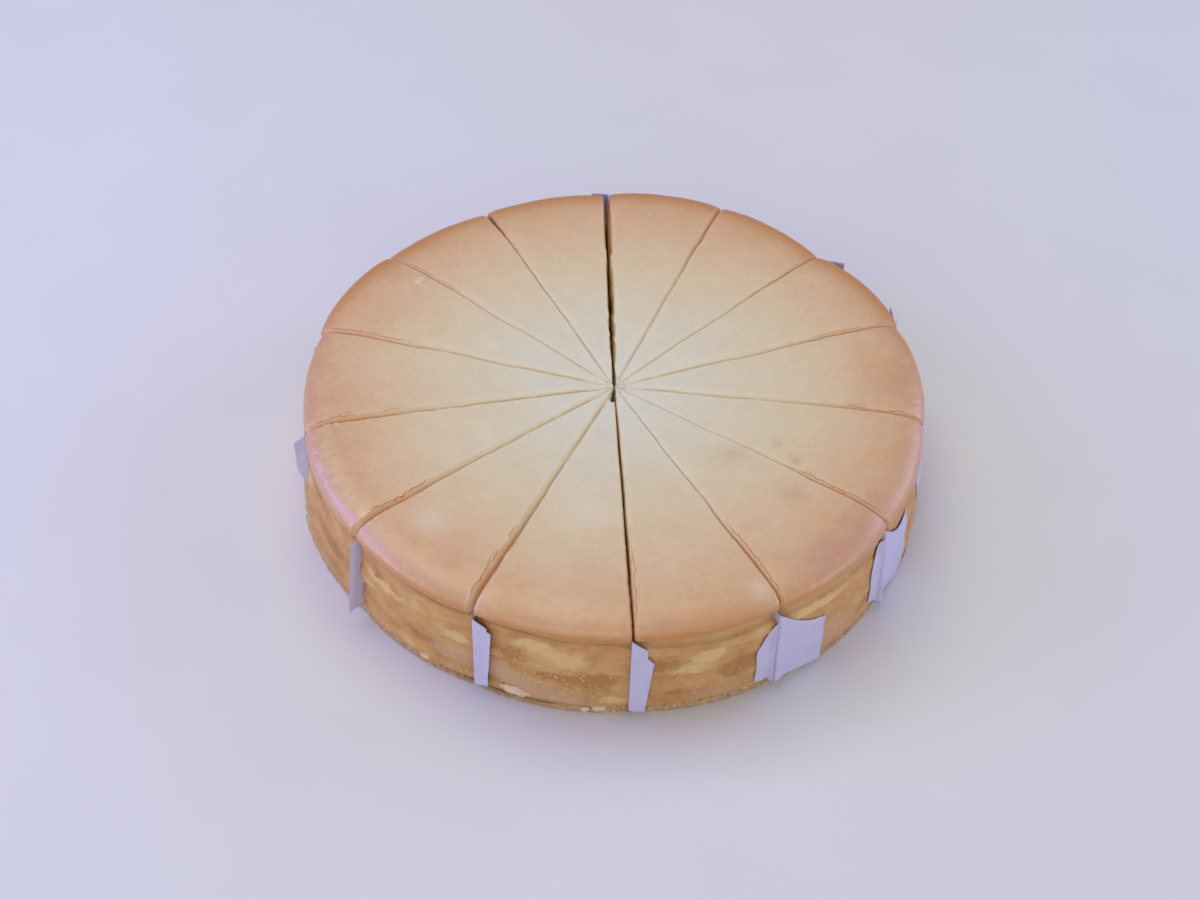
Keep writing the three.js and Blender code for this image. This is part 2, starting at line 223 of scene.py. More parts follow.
# Marks on the top: place in millimetres and half their size
HOLE = [(-0.4, -6.2, 1.1, 1.4), (-0.3, -3.4, 0.55, 2.6)]
HOLE_DEPTH = 3.0
DIMPLES = [(65.7, -30.5, 1.6), (72.5, -39.4, 1.4)]
DIMPLE_DEPTH = 0.4
BROWN_SPOTS = [(110.6, 4.7, 9.0), (70.3, -56.5, 6.0), (83.6, -84.5, 8.0), (47.7, -38.0, 6.0),
               (65.7, -30.5, 2.4), (72.5, -39.4, 2.6), (-97.0, 66.0, 8.0)]
# Mauve spots on the right rim: partly browning, partly a painted cool sheen
MAUVE_TINT_AND_SHEEN_SPOTS = [(102.0, -60.0, 6.0), (96.0, -73.0, 7.0), (87.0, -84.0, 8.0), (77.0, -93.0, 7.0)]
PALE_SPOTS = [(-50.6, -32.1, 5.0), (-7.6, -69.8, 9.0), (-68.3, -78.0, 7.0), (57.4, -105.3, 5.0),
              (-51.4, 19.8, 4.0), (-48.6, -113.0, 3.0)]

# Torn skin that reaches into the open cut: radius, half its length and how far it reaches
TEARS = [(79.0, 1.6, 1.0), (74.0, 2.6, 0.7), (40.0, 2.4, 0.6), (28.0, 2.0, 0.7), (12.0, 3.0, 0.4)]

# Loose flakes that lie on the top: place, half length and half width, and degrees turned
TOP_FLAKES = [(-85.0, 58.5, 2.7, 1.8, 60.0), (-114.0, -29.0, 2.0, 0.8, 20.0),
              (-110.0, -28.6, 1.2, 0.6, -10.0), (94.3, -43.7, 0.9, 0.6, 15.0)]
# Flakes that cling to the side: heading, height, half length and half width, and degrees turned
SIDE_FLAKES = [(-105.6, 7.0, 5.8, 2.3, -8.0), (-119.6, 4.8, 4.6, 1.2, 8.0), (-123.6, 5.6, 2.6, 1.1, 0.0),
               (-84.4, 4.6, 3.4, 0.9, -4.0), (-90.6, 3.4, 2.8, 1.7, 10.0), (-93.0, 2.8, 1.8, 1.2, 30.0),
               (-79.0, 4.8, 2.0, 1.0, 0.0), (32.0, 6.0, 3.4, 1.4, 0.0), (122.0, 6.2, 3.8, 1.6, 6.0),
               (150.0, 5.4, 2.4, 1.0, -5.0)]
FLAKE_HALF_THICKNESS = 0.35
CHIP_HALF_THICKNESS = 0.75


# Node trees written as formulas

class Field:
    """A number that runs through a node tree, so that a shape or a finish reads as a formula."""

    def __init__(self, tree, socket):
        self.tree = tree
        self.socket = socket

    def __add__(self, other):
        return calc(self.tree, "ADD", self, other)

    def __sub__(self, other):
        return calc(self.tree, "SUBTRACT", self, other)

    def __rsub__(self, other):
        return calc(self.tree, "SUBTRACT", other, self)

    def __mul__(self, other):
        return calc(self.tree, "MULTIPLY", self, other)

    def __truediv__(self, other):
        return calc(self.tree, "DIVIDE", self, other)

    def __pow__(self, other):
        return calc(self.tree, "POWER", self, other)

    __radd__ = __add__
    __rmul__ = __mul__

    def clamp(self):
        """Kept between 0 and 1."""
        return made(self.tree, "ShaderNodeClamp", self)

    def smooth(self, low, high):
        """0 at low and 1 at high, eased between."""
        return made(self.tree, "ShaderNodeMapRange", self, low, high, interpolation_type="SMOOTHSTEP")

    def bump(self, centre, width):
        """1 at the centre, falling off as a bell."""
        off = (self - centre) / width
        return calc(self.tree, "EXPONENT", off * off * -1.0)

    def sin(self):
        return calc(self.tree, "SINE", self)

    def cos(self):
        return calc(self.tree, "COSINE", self)

    def least(self, other):
        return calc(self.tree, "MINIMUM", self, other)

    def most(self, other):
        return calc(self.tree, "MAXIMUM", self, other)


def feed(tree, socket, value):
    """Links a field to a socket, or sets the socket's own value."""
    if isinstance(value, Field):
        tree.links.new(value.socket, socket)
    else:
        socket.default_value = value


def add_node(tree, kind, *values, named=None, **settings):
    """A node with its settings made and its inputs fed, first by order and then by name."""
    node = tree.nodes.new(kind)
    for name, value in settings.items():
        setattr(node, name, value)
    for socket, value in zip(node.inputs, values):
        feed(tree, socket, value)
    for name, value in (named or {}).items():
        feed(tree, node.inputs[name], value)
    return node


def made(tree, kind, *values, output=0, **settings):
    """The field that comes out of a new node."""
    return Field(tree, add_node(tree, kind, *values, **settings).outputs[output])


def calc(tree, operation, *values):
    """The result of one step of arithmetic."""
    return made(tree, "ShaderNodeMath", *values, operation=operation)


def blend(first, second, share):
    """From first to second as share goes from 0 to 1."""
    return first + (second - first) * share


def vector(tree, x, y, z):
    """A place from its three parts."""
    return made(tree, "ShaderNodeCombineXYZ", x, y, z)


def split(place):
    """The three parts of a place."""
    node = add_node(place.tree, "ShaderNodeSeparateXYZ", place)
    return [Field(place.tree, socket) for socket in node.outputs]


def noise(place, size, detail=2.0, rough=0.5):
    """Soft noise from 0 to 1 whose lumps are about as large as size."""
    sizes = {"Vector": place, "Scale": 1.0 / size, "Detail": detail, "Roughness": rough}
    return made(place.tree, "ShaderNodeTexNoise", named=sizes)


def uneven(place, size, depth, detail=2.0, rough=0.5):
    """Soft noise about 0 that mostly stays within half its depth."""
    return (noise(place, size, detail, rough) - 0.5) * depth


def grains(place, size, softness=None):
    """Distance to the middle of the nearest of many grains, as a share of their size."""
    node = add_node(place.tree, "ShaderNodeTexVoronoi", named={"Vector": place, "Scale": 1.0 / size})
    if softness is not None:
        node.feature = "SMOOTH_F1"
        feed(place.tree, node.inputs["Smoothness"], softness)
    return Field(place.tree, node.outputs["Distance"])


def patches(across, along, marks):
    """Sum of bells, one for each mark with its place and half sizes."""
    total = 0.0
    for place_across, place_along, half_across, half_along in marks:
        off_across = (across - place_across) / half_across
        off_along = (along - place_along) / half_along
        off = off_across * off_across + off_along * off_along
        total = calc(across.tree, "EXPONENT", off * -1.0) + total
    return total


def spots(x, y, marks):
    """Patches for round marks."""
    return patches(x, y, [(at_x, at_y, half, half) for at_x, at_y, half in marks])


# Growing pieces with geometry nodes

def new_tree(name, inputs, takes_mesh=False):
    """A geometry node tree with named inputs, and a field for each of them."""
    tree = bpy.data.node_groups.new(name, "GeometryNodeTree")
    tree.interface.new_socket("Mesh", in_out="OUTPUT", socket_type="NodeSocketGeometry")
    if takes_mesh:
        tree.interface.new_socket("Mesh", in_out="INPUT", socket_type="NodeSocketGeometry")
    for given in inputs:
        tree.interface.new_socket(given, in_out="INPUT", socket_type="NodeSocketFloat")
    tree.interface.new_socket("Finish", in_out="INPUT", socket_type="NodeSocketMaterial")
    group = tree.nodes.new("NodeGroupInput")
    return tree, {socket.name: Field(tree, socket) for socket in group.outputs if socket.name}


def own_place(tree):
    """Where each point of a mesh lies."""
    return made(tree, "GeometryNodeInputPosition")


def grid_shares(tree, across, along):
    """A flat grid, with fields that count its steps across and along."""
    grid = made(tree, "GeometryNodeMeshGrid", 1.0, 1.0, across + 1, along + 1)
    x, y, _ = split(own_place(tree))
    return grid, (x + 0.5) * across, (y + 0.5) * along


def keep_fields(mesh, fields):
    """Stores fields on the mesh's points under their names, for the finish to read."""
    for name, field in fields.items():
        mesh = made(mesh.tree, "GeometryNodeStoreNamedAttribute", data_type="FLOAT", domain="POINT",
                    named={"Geometry": mesh, "Name": name, "Value": field})
    return mesh


def scaled(place, amount):
    """A place or a colour times a number."""
    return made(place.tree, "ShaderNodeVectorMath", place, operation="SCALE", named={"Scale": amount})


def moved(mesh, place):
    """The mesh with its points put at places given in millimetres."""
    places = {"Geometry": mesh, "Position": scaled(place, MM)}
    return made(mesh.tree, "GeometryNodeSetPosition", named=places)


def close_tree(mesh, finish, weld=0.004):
    """Welds, smooths and realizes the mesh, and gives it its finish."""
    tree = mesh.tree
    mesh = made(tree, "GeometryNodeMergeByDistance", named={"Geometry": mesh, "Distance": weld * MM})
    mesh = made(tree, "GeometryNodeSetShadeSmooth", named={"Geometry": mesh})
    mesh = made(tree, "GeometryNodeRealizeInstances", named={"Geometry": mesh})
    mesh = made(tree, "GeometryNodeSetMaterial", named={"Geometry": mesh, "Material": finish})
    feed(tree, tree.nodes.new("NodeGroupOutput").inputs[0], mesh)
    return tree


def grow(name, tree, values, mesh=None):
    """Runs a tree once, on a mesh if it takes one, and returns the result as a plain mesh."""
    holder = bpy.data.objects.new(name, mesh or bpy.data.meshes.new(name))
    bpy.context.scene.collection.objects.link(holder)
    modifier = holder.modifiers.new(tree.name, "NODES")
    modifier.node_group = tree
    for item in tree.interface.items_tree:
        if item.in_out == "INPUT" and item.socket_type != "NodeSocketGeometry":
            modifier[item.identifier] = values[item.name]
    depsgraph = bpy.context.evaluated_depsgraph_get()
    grown = bpy.data.meshes.new_from_object(
        holder.evaluated_get(depsgraph), preserve_all_data_layers=True, depsgraph=depsgraph)
    bpy.data.objects.remove(holder)
    return grown


def joined(meshes, name, finish):
    """Several meshes as one."""
    whole = bmesh.new()
    for mesh in meshes:
        whole.from_mesh(mesh)
    result = bpy.data.meshes.new(name)
    whole.to_mesh(result)
    whole.free()
    result.materials.append(finish)
    return result


def place_piece(name, mesh, node=None):
    """Puts a finished mesh in the scene as a piece of the object."""
    mesh.name = name
    piece = bpy.data.objects.new(name, mesh)
    bpy.context.scene.collection.objects.link(piece)
    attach(piece, "root")
    if node:
        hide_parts(node)


# Slices

SLICE_INPUTS = ["Start heading", "Spread", "Tip", "Lift", "Number", "Bulge"]
CUT_INPUTS = ["cut", "bend", "sway", "gap", "mouth", "notch", "flare", "groove", "inner", "outer", "crack",
              "tear", "slump"]
ENDS = ("Start", "End")
SLICE_INPUTS += [f"{end} {given}" for given in CUT_INPUTS for end in ENDS]


def part_shares(step, counts):
    """For each stretch of a section, how much of it lies behind a step."""
    shares = []
    start = 0
    for count in counts:
        shares.append(((step - start) / count).clamp())
        start += count
    return shares


def curve(share, control, end):
    """Offset along a quadratic curve that starts at 0."""
    return share * (1.0 - share) * (2.0 * control) + share * share * end


def slice_shares(row, rows, crowding):
    """Share of the way across a slice, crowded at its cuts, and the share of each ring on its cut faces."""
    ring = (row.least(rows - row) / CAP_ROWS).clamp()
    even = ((row - CAP_ROWS) / (rows - 2 * CAP_ROWS)).clamp()
    return even - (even * math.tau).sin() * (crowding / math.tau), ring


def rim_offset(given, share):
    """Rim radius across a slice: notched at the cuts, full between them."""
    mean = (given["Start notch"] + given["End notch"]) * 0.5
    swell = (share * math.pi).sin().most(0.0) ** NOTCH_EASE
    return blend(given["Start notch"], given["End notch"], share) + (given["Bulge"] - mean) * swell


def foot_offset(given, height, share):
    """How far the flared foot stands out at a height of the side."""
    return blend(given["Start flare"], given["End flare"], share) * (1.0 - height / CREASE_HEIGHT).most(0.0)


def cut_sway(radius, number, sway, bend):
    """How far a cut strays anticlockwise from its straight line at a radius."""
    line = vector(radius.tree, radius, number * 31.0, 0.0)
    free = radius.smooth(8.0, 50.0) * (1.0 - radius.smooth(112.0, 124.0)) * sway
    return (uneven(line, 26.0, 2.6) + uneven(line, 6.0, 0.5)) * free + radius.smooth(86.0, 122.0) * bend


def bend_round(given, radius, height, share, start_gap, end_gap):
    """A section's point carried round the axis to its share of the way across the slice."""
    tree = radius.tree
    strays = [cut_sway(radius, *[given[end + name] for name in (" cut", " sway", " bend")]) for end in ENDS]
    sways = [stray / radius.most(1.0) for stray in strays]
    half_gaps = [calc(tree, "ARCSINE", (gap / radius).least(1.0)) for gap in (start_gap, end_gap)]
    start = given["Start heading"] + sways[0] - half_gaps[0]
    end = given["Start heading"] - given["Spread"] + sways[1] + half_gaps[1]
    heading = blend(start, end, share)
    return vector(tree, radius * heading.cos(), radius * heading.sin(), height)


def ledge_field(heading, height, ledge):
    """1 on what lies above a ledge, within its reach."""
    level = blend(ledge["low"], ledge["high"], heading.smooth(ledge["start"], ledge["end"]))
    above = height - level
    band = above.smooth(-0.5, 0.5) * (1.0 - above.smooth(ledge["reach"] * 0.6, ledge["reach"]))
    return band * heading.smooth(ledge["start"], ledge["start"] + 5) * (
        1.0 - heading.smooth(ledge["last"] - 4, ledge["last"]))


def along_cuts(radius, number):
    """For the cuts at both ends of a slice, a line to draw noise along."""
    return [vector(radius.tree, radius, number * 37.0 + shift, shift * 0.3) for shift in (0.0, 19.0)]


def groove_width(radius, along, inner, outer):
    """Half width of a groove from the middle to the rim, with an uneven edge."""
    even = blend(inner, outer, radius.smooth(40.0, CREST_RADIUS))
    ragged = uneven(along, 8.0, 0.8, detail=3.0) + uneven(along, 2.0, 0.35)
    return even * (1.0 + ragged) * radius.smooth(1.0, 10.0) + 0.06


def crack_field(radius, beyond, along):
    """Jagged cracks that run beside a groove, where the skin bends down into it."""
    jag = uneven(along, 3.8, 3.0, detail=3.0, rough=0.7)
    second = uneven(along, 6.0, 2.6, detail=3.0, rough=0.7)
    gate = noise(along, 15.0, detail=1.0).smooth(0.32, 0.44)
    window = radius.smooth(80.0, 96.0) * (1.0 - radius.smooth(121.0, 125.0))
    broken = noise(along, 11.0).smooth(0.5, 0.62)
    pair = beyond.bump(jag + 0.3, 0.24) + beyond.bump(second + 1.4, 0.16) * broken * 0.7
    return pair * gate * window


def streaked(heading, height):
    """Places on the unrolled side, drawn out so that noise on them runs in streaks a little aslant."""
    arc = heading * RIM_RADIUS
    return vector(heading.tree, arc / STRETCH, height + arc * 0.07, 0.0)


def filling_section(step, given):
    """Radius and height of the filling's section at a step along it, and the share of each stretch."""
    shares = bottom, side, lip, roll, top, tip = part_shares(step, FILLING_PARTS)
    lower, upper = (roll * 2.0).clamp(), (roll * 2.0 - 1.0).clamp()
    inward = top - (top * math.tau).sin() * (TOP_CROWDING / math.tau)
    radius = given["Tip"] + (SIDE_FOOT_RADIUS - given["Tip"]) * bottom
    radius = radius + side * (CREASE_RADIUS - SIDE_FOOT_RADIUS) + (side * math.pi).sin() * SIDE_BELLY
    radius = radius + lip * (LIP_RADIUS - CREASE_RADIUS)
    radius = radius + curve(lower, LIP_SWELL - LIP_RADIUS, RIM_RADIUS - LIP_RADIUS)
    radius = radius + curve(upper, -ROLL_INSET, CREST_RADIUS - RIM_RADIUS)
    radius = radius + curve(inward, CREST_RADIUS * (WAIST_SHARE - 1.0), given["Tip"] - CREST_RADIUS)
    height = side * (CREASE_HEIGHT - FOOT) + FOOT + lip * (LIP_HEIGHT - CREASE_HEIGHT)
    height = height + curve(lower, LIP_ROUND, WIDEST_HEIGHT - LIP_HEIGHT)
    height = height + curve(upper, CREST_HEIGHT - WIDEST_HEIGHT, CREST_HEIGHT - WIDEST_HEIGHT)
    height = height - curve(inward, 0.0, CENTRE_SAG) - tip * (CREST_HEIGHT - CENTRE_SAG - FOOT)
    return radius, height, shares


def cut_gaps(given, radius, height):
    """Half widths of the cuts at both ends of a slice: torn where one stands open, else shut at the top."""
    tree = radius.tree
    taper = blend(0.6, 1.0, radius.smooth(4.0, 40.0))
    closing = 1.0 - height.smooth(44.0, 50.0) * 0.7
    wall = vector(tree, radius, height * 0.35, given["Number"] * 11.0)
    torn = uneven(wall, 1.8, 0.9, detail=3.0, rough=0.7)
    gaps = []
    for end, offset in zip(ENDS, (0.0, 3.0)):
        gap = blend(given[end + " gap"], given[end + " mouth"], radius.smooth(96.0, 122.0))
        opened = gap.smooth(CLOSED_GAP, 0.4)
        tears = 0.0
        for at, half, reach in TEARS:
            tears = radius.bump(at + offset, half) * reach + tears
        tears = tears * height.smooth(34.0, 46.0) * given[end + " tear"]
        lumps = noise(vector(tree, radius, height * 0.3, 40.0 + offset), 7.0, detail=4.0)
        slumped = (0.5 + lumps.smooth(0.4, 0.58) * 0.5) * given[end + " slump"]
        slumped = slumped * (1.0 - radius.smooth(111.0, 117.0)) * (1.0 - height.smooth(45.0, 53.0))
        gap = gap * blend(0.4, 1.0, height.smooth(16.0, 44.0)) * (1.0 - slumped)
        gaps.append((gap * taper * blend(closing, 1.0, opened) + torn * opened - tears).most(0.02))
    return gaps


def filling_tree():
    """Tree for the baked filling of one slice: its section, bent round the axis, with all its relief."""
    tree, given = new_tree("baked filling", SLICE_INPUTS)
    mesh, step, row = grid_shares(tree, sum(FILLING_PARTS), ROW_STEPS)
    share, ring = slice_shares(row, ROW_STEPS, EDGE_CROWDING)
    radius, height, (_, side, lip, roll, _, tip) = filling_section(step, given)

    # Where the point is, before relief
    heading = given["Start heading"] - given["Spread"] * share
    degrees = heading * (180.0 / math.pi)
    place = vector(tree, radius * heading.cos(), radius * heading.sin(), height)
    x, y, _ = split(place)
    wrap = streaked(heading, height)
    outer = radius.smooth(RIM_RADIUS * WAIST_SHARE, CREST_RADIUS)
    past_foot = step.smooth(FILLING_PARTS[0] - 1.0, FILLING_PARTS[0] + 3.0)
    on_side = past_foot * (1.0 - lip.smooth(0.0, 0.9))
    on_top = roll.smooth(0.5, 1.0) * (1.0 - tip)
    on_roll = lip.smooth(0.4, 1.0) * (1.0 - roll.smooth(0.45, 0.95))

    # Grooves and cracks at the cuts
    deep = blend(INNER_GROOVE_DEPTH, OUTER_GROOVE_DEPTH, radius.smooth(20.0, CREST_RADIUS))
    across = radius * given["Spread"]
    reaches, beyonds, groove, crack = [], [], 0.0, 0.0
    for end, along, away in zip(ENDS, along_cuts(radius, given["Number"]), (share, 1.0 - share)):
        width = groove_width(radius, along, given[end + " inner"], given[end + " outer"])
        reaches.append(across * away / width)
        beyonds.append(across * away - width)
        groove = (1.0 - reaches[-1].clamp() ** GROOVE_ROUND) * given[end + " groove"] + groove
        crack = crack_field(radius, beyonds[-1], along) * given[end + " crack"] + crack
    crack = crack * (1.0 - on_side)

    # Folds and marks on the side, with wandering outlines
    shifted = vector(tree, x + 60.0, y, height)
    loose_degrees = degrees + uneven(place, 6.0, 6.0, detail=3.0)
    loose_height = height + uneven(shifted, 6.0, 6.0, detail=3.0)
    wavy_degrees = degrees + uneven(place, 9.0, 5.0)
    wavy_height = height + uneven(place, 5.0, 1.6)
    folds = [ledge_field(wavy_degrees, wavy_height, ledge) for ledge in LEDGES]
    streaks = noise(wrap, 11.0, detail=3.0).smooth(0.6, 0.78)
    dust = noise(wrap, 15.0).smooth(0.62, 0.8)
    clouds = noise(shifted, 13.0, detail=3.0).smooth(0.56, 0.74)
    scrape = (patches(loose_degrees, loose_height, SCRAPED) + streaks * 0.45) * on_side
    flour = (patches(loose_degrees, loose_height, FLOURED) + dust * 0.3) * on_side
    brown = (patches(loose_degrees, loose_height, BROWNED) + clouds * 0.5) * on_side
    sway = (share * math.tau + given["Number"]).sin() * 0.8
    wrinkle = (height * (math.tau / WRINKLE_PITCH) + sway).sin() * WRINKLE_DEPTH
    wrinkle = wrinkle + uneven(wrap, 5.5, 2.0, detail=3.0) + uneven(wrap, 2.0, 0.5)
    wrinkle = wrinkle + uneven(place, 2.6, 0.3, detail=3.0)
    crusty = uneven(place, 1.6, 1.2, detail=3.0, rough=0.6) + uneven(place, 3.6, 1.2)
    wrinkle = wrinkle + crusty * brown.clamp() - scrape.smooth(0.35, 0.6) * 0.35
    for ledge, fold in zip(LEDGES, folds):
        wrinkle = wrinkle + fold * ledge["step"]

    # Everything that stands out of the even surface or is sunk in it
    relief = wrinkle * on_side
    relief = relief + uneven(place, 34.0, 1.2) + uneven(place, 13.0, 0.4) + uneven(place, 5.0, 0.16)
    relief = relief - groove * deep * blend(1.0, SIDE_GROOVE_SHARE, on_side) - crack * CRACK_DEPTH
    pimpled = degrees.bump(*LEFT_SHEEN) * radius.smooth(114.0, 120.5) * (1.0 - on_side)
    bulged = radius.smooth(CREST_RADIUS, 120.0) * (1.0 - on_side)
    relief = relief + (uneven(place, 3.4, 0.7) + uneven(place, 1.7, 0.3)) * (bulged * 0.22 + pimpled * 0.2)
    relief = relief - (patches(x, y, HOLE) * HOLE_DEPTH + spots(x, y, DIMPLES) * DIMPLE_DEPTH) * on_top
    relief = relief + uneven(place, 1.8, 1.2, detail=3.0) * radius.bump(0.0, 7.0) * on_top
    relief = relief * past_foot * (1.0 - tip)
    tilt = roll.smooth(0.0, 1.0) * (math.pi / 2.0)

    # The section with its relief, settled as the whole cake is
    edge = calc(tree, "ABSOLUTE", share * 2.0 - 1.0) ** SHOULDER_SHARPNESS
    drop = edge * SHOULDER_DROP * blend(INNER_SHOULDER_SHARE, 1.0, outer)
    hang = side.smooth(0.86, 1.0) * (1.0 - roll.smooth(0.0, 0.45))
    droop = (uneven(wrap, 7.0, 2.6) + uneven(place, 2.4, 0.5)) * hang
    settled = height.smooth(FOOT, CREST_HEIGHT) * (given["Lift"] - drop)
    shaped_radius = radius + outer * (rim_offset(given, share) + foot_offset(given, height, share))
    shaped_radius = shaped_radius + relief * tilt.cos()
    shaped_height = height + relief * tilt.sin() + settled + droop
    inner_radius = blend(RIM_RADIUS * 0.5, shaped_radius, ring)
    inner_height = blend(CREST_HEIGHT * 0.5, shaped_height, ring)
    gaps = cut_gaps(given, inner_radius, inner_height)
    shaped = bend_round(given, inner_radius, inner_height, share, *gaps)

    # What the finish reads; at the back of the cake the toasted band reaches higher
    high_toast = (y / RIM_RADIUS).smooth(-0.1, 0.6) * 0.3
    kept = {
        "even_radius": radius, "number": given["Number"], "reach": reaches[0].least(reaches[1]).least(5.0),
        "start_beyond": beyonds[0].least(8.0), "end_beyond": beyonds[1].least(8.0),
        "start_crack": given["Start crack"], "end_crack": given["End crack"], "side": on_side,
        "face": 1.0 - ring.smooth(0.85, 1.0), "roll": on_roll, "bulged": bulged, "pimpled": pimpled,
        # edge: a painted highlight along the lip's crisp edge
        "edge": lip.smooth(0.6, 1.0) * (1.0 - roll.smooth(0.06, 0.16)),
        "toast": lip.smooth(0.5, 1.0) * (1.0 - (roll - high_toast).smooth(0.2, 0.75)),
        "scrape": scrape, "flour": flour, "brown": brown, "strip": folds[0] * on_side, "relief": relief,
        # under: where painted shade falls on the side just below the overhanging lip
        "turn": heading, "under": side.smooth(0.86, 0.95) * (1.0 - lip.smooth(0.3, 0.9)),
    }
    mesh = moved(keep_fields(mesh, kept), shaped)
    return close_tree(mesh, given["Finish"])


def base_tree():
    """Tree for the crumb base under one slice: flat below, with a ragged crumbly edge."""
    tree, given = new_tree("crumb base", SLICE_INPUTS)
    mesh, step, row = grid_shares(tree, sum(BASE_PARTS), BASE_ROWS)
    share, ring = slice_shares(row, BASE_ROWS, BASE_CROWDING)
    below, edge, above, inner = part_shares(step, BASE_PARTS)
    out, back = 1.0 - (1.0 - below) * (1.0 - below), above * above
    radius = given["Tip"] + (BASE_RADIUS - BASE_LIP - given["Tip"]) * (out - back)
    radius = radius + (edge * math.pi).sin() * BASE_LIP
    height = edge * BASE_THICKNESS * (1.0 - inner)
    heading = given["Start heading"] - given["Spread"] * share
    degrees = heading * (180.0 / math.pi)
    place = vector(tree, radius * heading.cos(), radius * heading.sin(), height)
    outer = radius.smooth(RIM_RADIUS * WAIST_SHARE, CREST_RADIUS)
    shown = radius.smooth(BASE_RADIUS - 4.0, BASE_RADIUS - 1.0) * height.smooth(0.0, 0.6)

    chunk = 0.42 - grains(place, 2.2, softness=0.3)
    crumbly = chunk * 0.8 + uneven(place, 0.9, 0.7, detail=3.0, rough=0.6) + uneven(place, 9.0, 1.0)
    opened = patches(degrees, height, BROKEN) * BROKEN_DEPTH
    eaten = noise(vector(tree, degrees, 0.0, 0.0), 3.0, detail=2.0).smooth(0.55, 0.7) * 0.9
    shaped_radius = radius + shown * (crumbly - opened - eaten)
    shaped_radius = shaped_radius + outer * (rim_offset(given, share) + foot_offset(given, height, share))
    shaped_height = height - shown * height.smooth(3.5, 4.8) * noise(place, 2.0) * 0.5
    inner_radius = blend(RIM_RADIUS * 0.5, shaped_radius, ring)
    inner_height = blend(BASE_THICKNESS * 0.5, shaped_height, ring)
    shaped = bend_round(given, inner_radius, inner_height, share, given["Start gap"], given["End gap"])
    mesh = moved(keep_fields(mesh, {"opened": opened}), shaped)
    return close_tree(mesh, given["Finish"])


def heading_of(index):
    """Heading of a cut in radians, counted clockwise and never wrapped."""
    turn = 360.0 / CUT_COUNT * index
    return math.radians(FIRST_CUT_DEG - turn + CUTS[index % CUT_COUNT]["drift"])


def wrapped(heading):
    """The same heading counted from -190 to 170 degrees, so that no slice that shows marks is split."""
    while heading < math.radians(-190.0):
        heading += math.tau
    return heading


def slice_values(index, finish):
    """The named sizes of one slice."""
    row, following = CUTS[index], CUTS[(index + 1) % CUT_COUNT]
    spread = heading_of(index) - heading_of(index + 1)
    gaps = (row["gap"] + following["gap"]) * 0.52 + TIP_WIDTH
    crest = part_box(f"filling_{index + 1:02d}")[1].z / MM
    values = {
        "Start heading": wrapped(heading_of(index)), "Spread": spread, "Number": float(index),
        "Tip": gaps / (2.0 * math.sin(spread / 2.0)), "Lift": crest - CREST_HEIGHT - TOP_RELIEF,
        "Bulge": row["bulge"], "Start cut": float(index), "End cut": float((index + 1) % CUT_COUNT),
        "Start tear": float(index == 0), "End tear": 0.6 * float(index == CUT_COUNT - 1), "Finish": finish,
    }
    for given in ("bend", "sway", "gap", "mouth", "notch", "flare", "groove"):
        values["Start " + given] = row[given]
        values["End " + given] = following[given]
    for given in ("inner", "outer", "crack", "slump"):
        values["Start " + given] = row[given][1]
        values["End " + given] = following[given][0]
    return values


# Paper slips

PLY_INPUTS = ["Heading", "Cut", "Sway", "Bend", "Inner radius", "Fold radius", "Side", "Lean", "Curl",
              "Length", "Nip", "Top at fold", "Top at end", "Foot at fold", "Foot at end", "Top inside",
              "Dip", "Spread", "Crimp", "Press", "Slant"]
PLY_PARTS = [10, 6, 34]
PLY_ROWS = 40


def wall_radius(walls, angle, height):
    """Radius of the cake's side at a heading and a height, and the same with its relief evened out."""
    tree = walls.tree
    far = 2.0 * RIM_RADIUS
    start = scaled(vector(tree, angle.cos() * far, angle.sin() * far, height), MM)
    inward = vector(tree, angle.cos() * -1.0, angle.sin() * -1.0, 0.0)
    ray = add_node(tree, "GeometryNodeRaycast",
                   named={"Target Geometry": walls, "Source Position": start, "Ray Direction": inward})
    found = (far - Field(tree, ray.outputs["Hit Distance"]) / MM) * Field(tree, ray.outputs["Is Hit"])
    wall = found.most(CREASE_RADIUS - 2.0)
    return wall, made(tree, "GeometryNodeBlurAttribute", named={"Value": wall, "Iterations": 14})


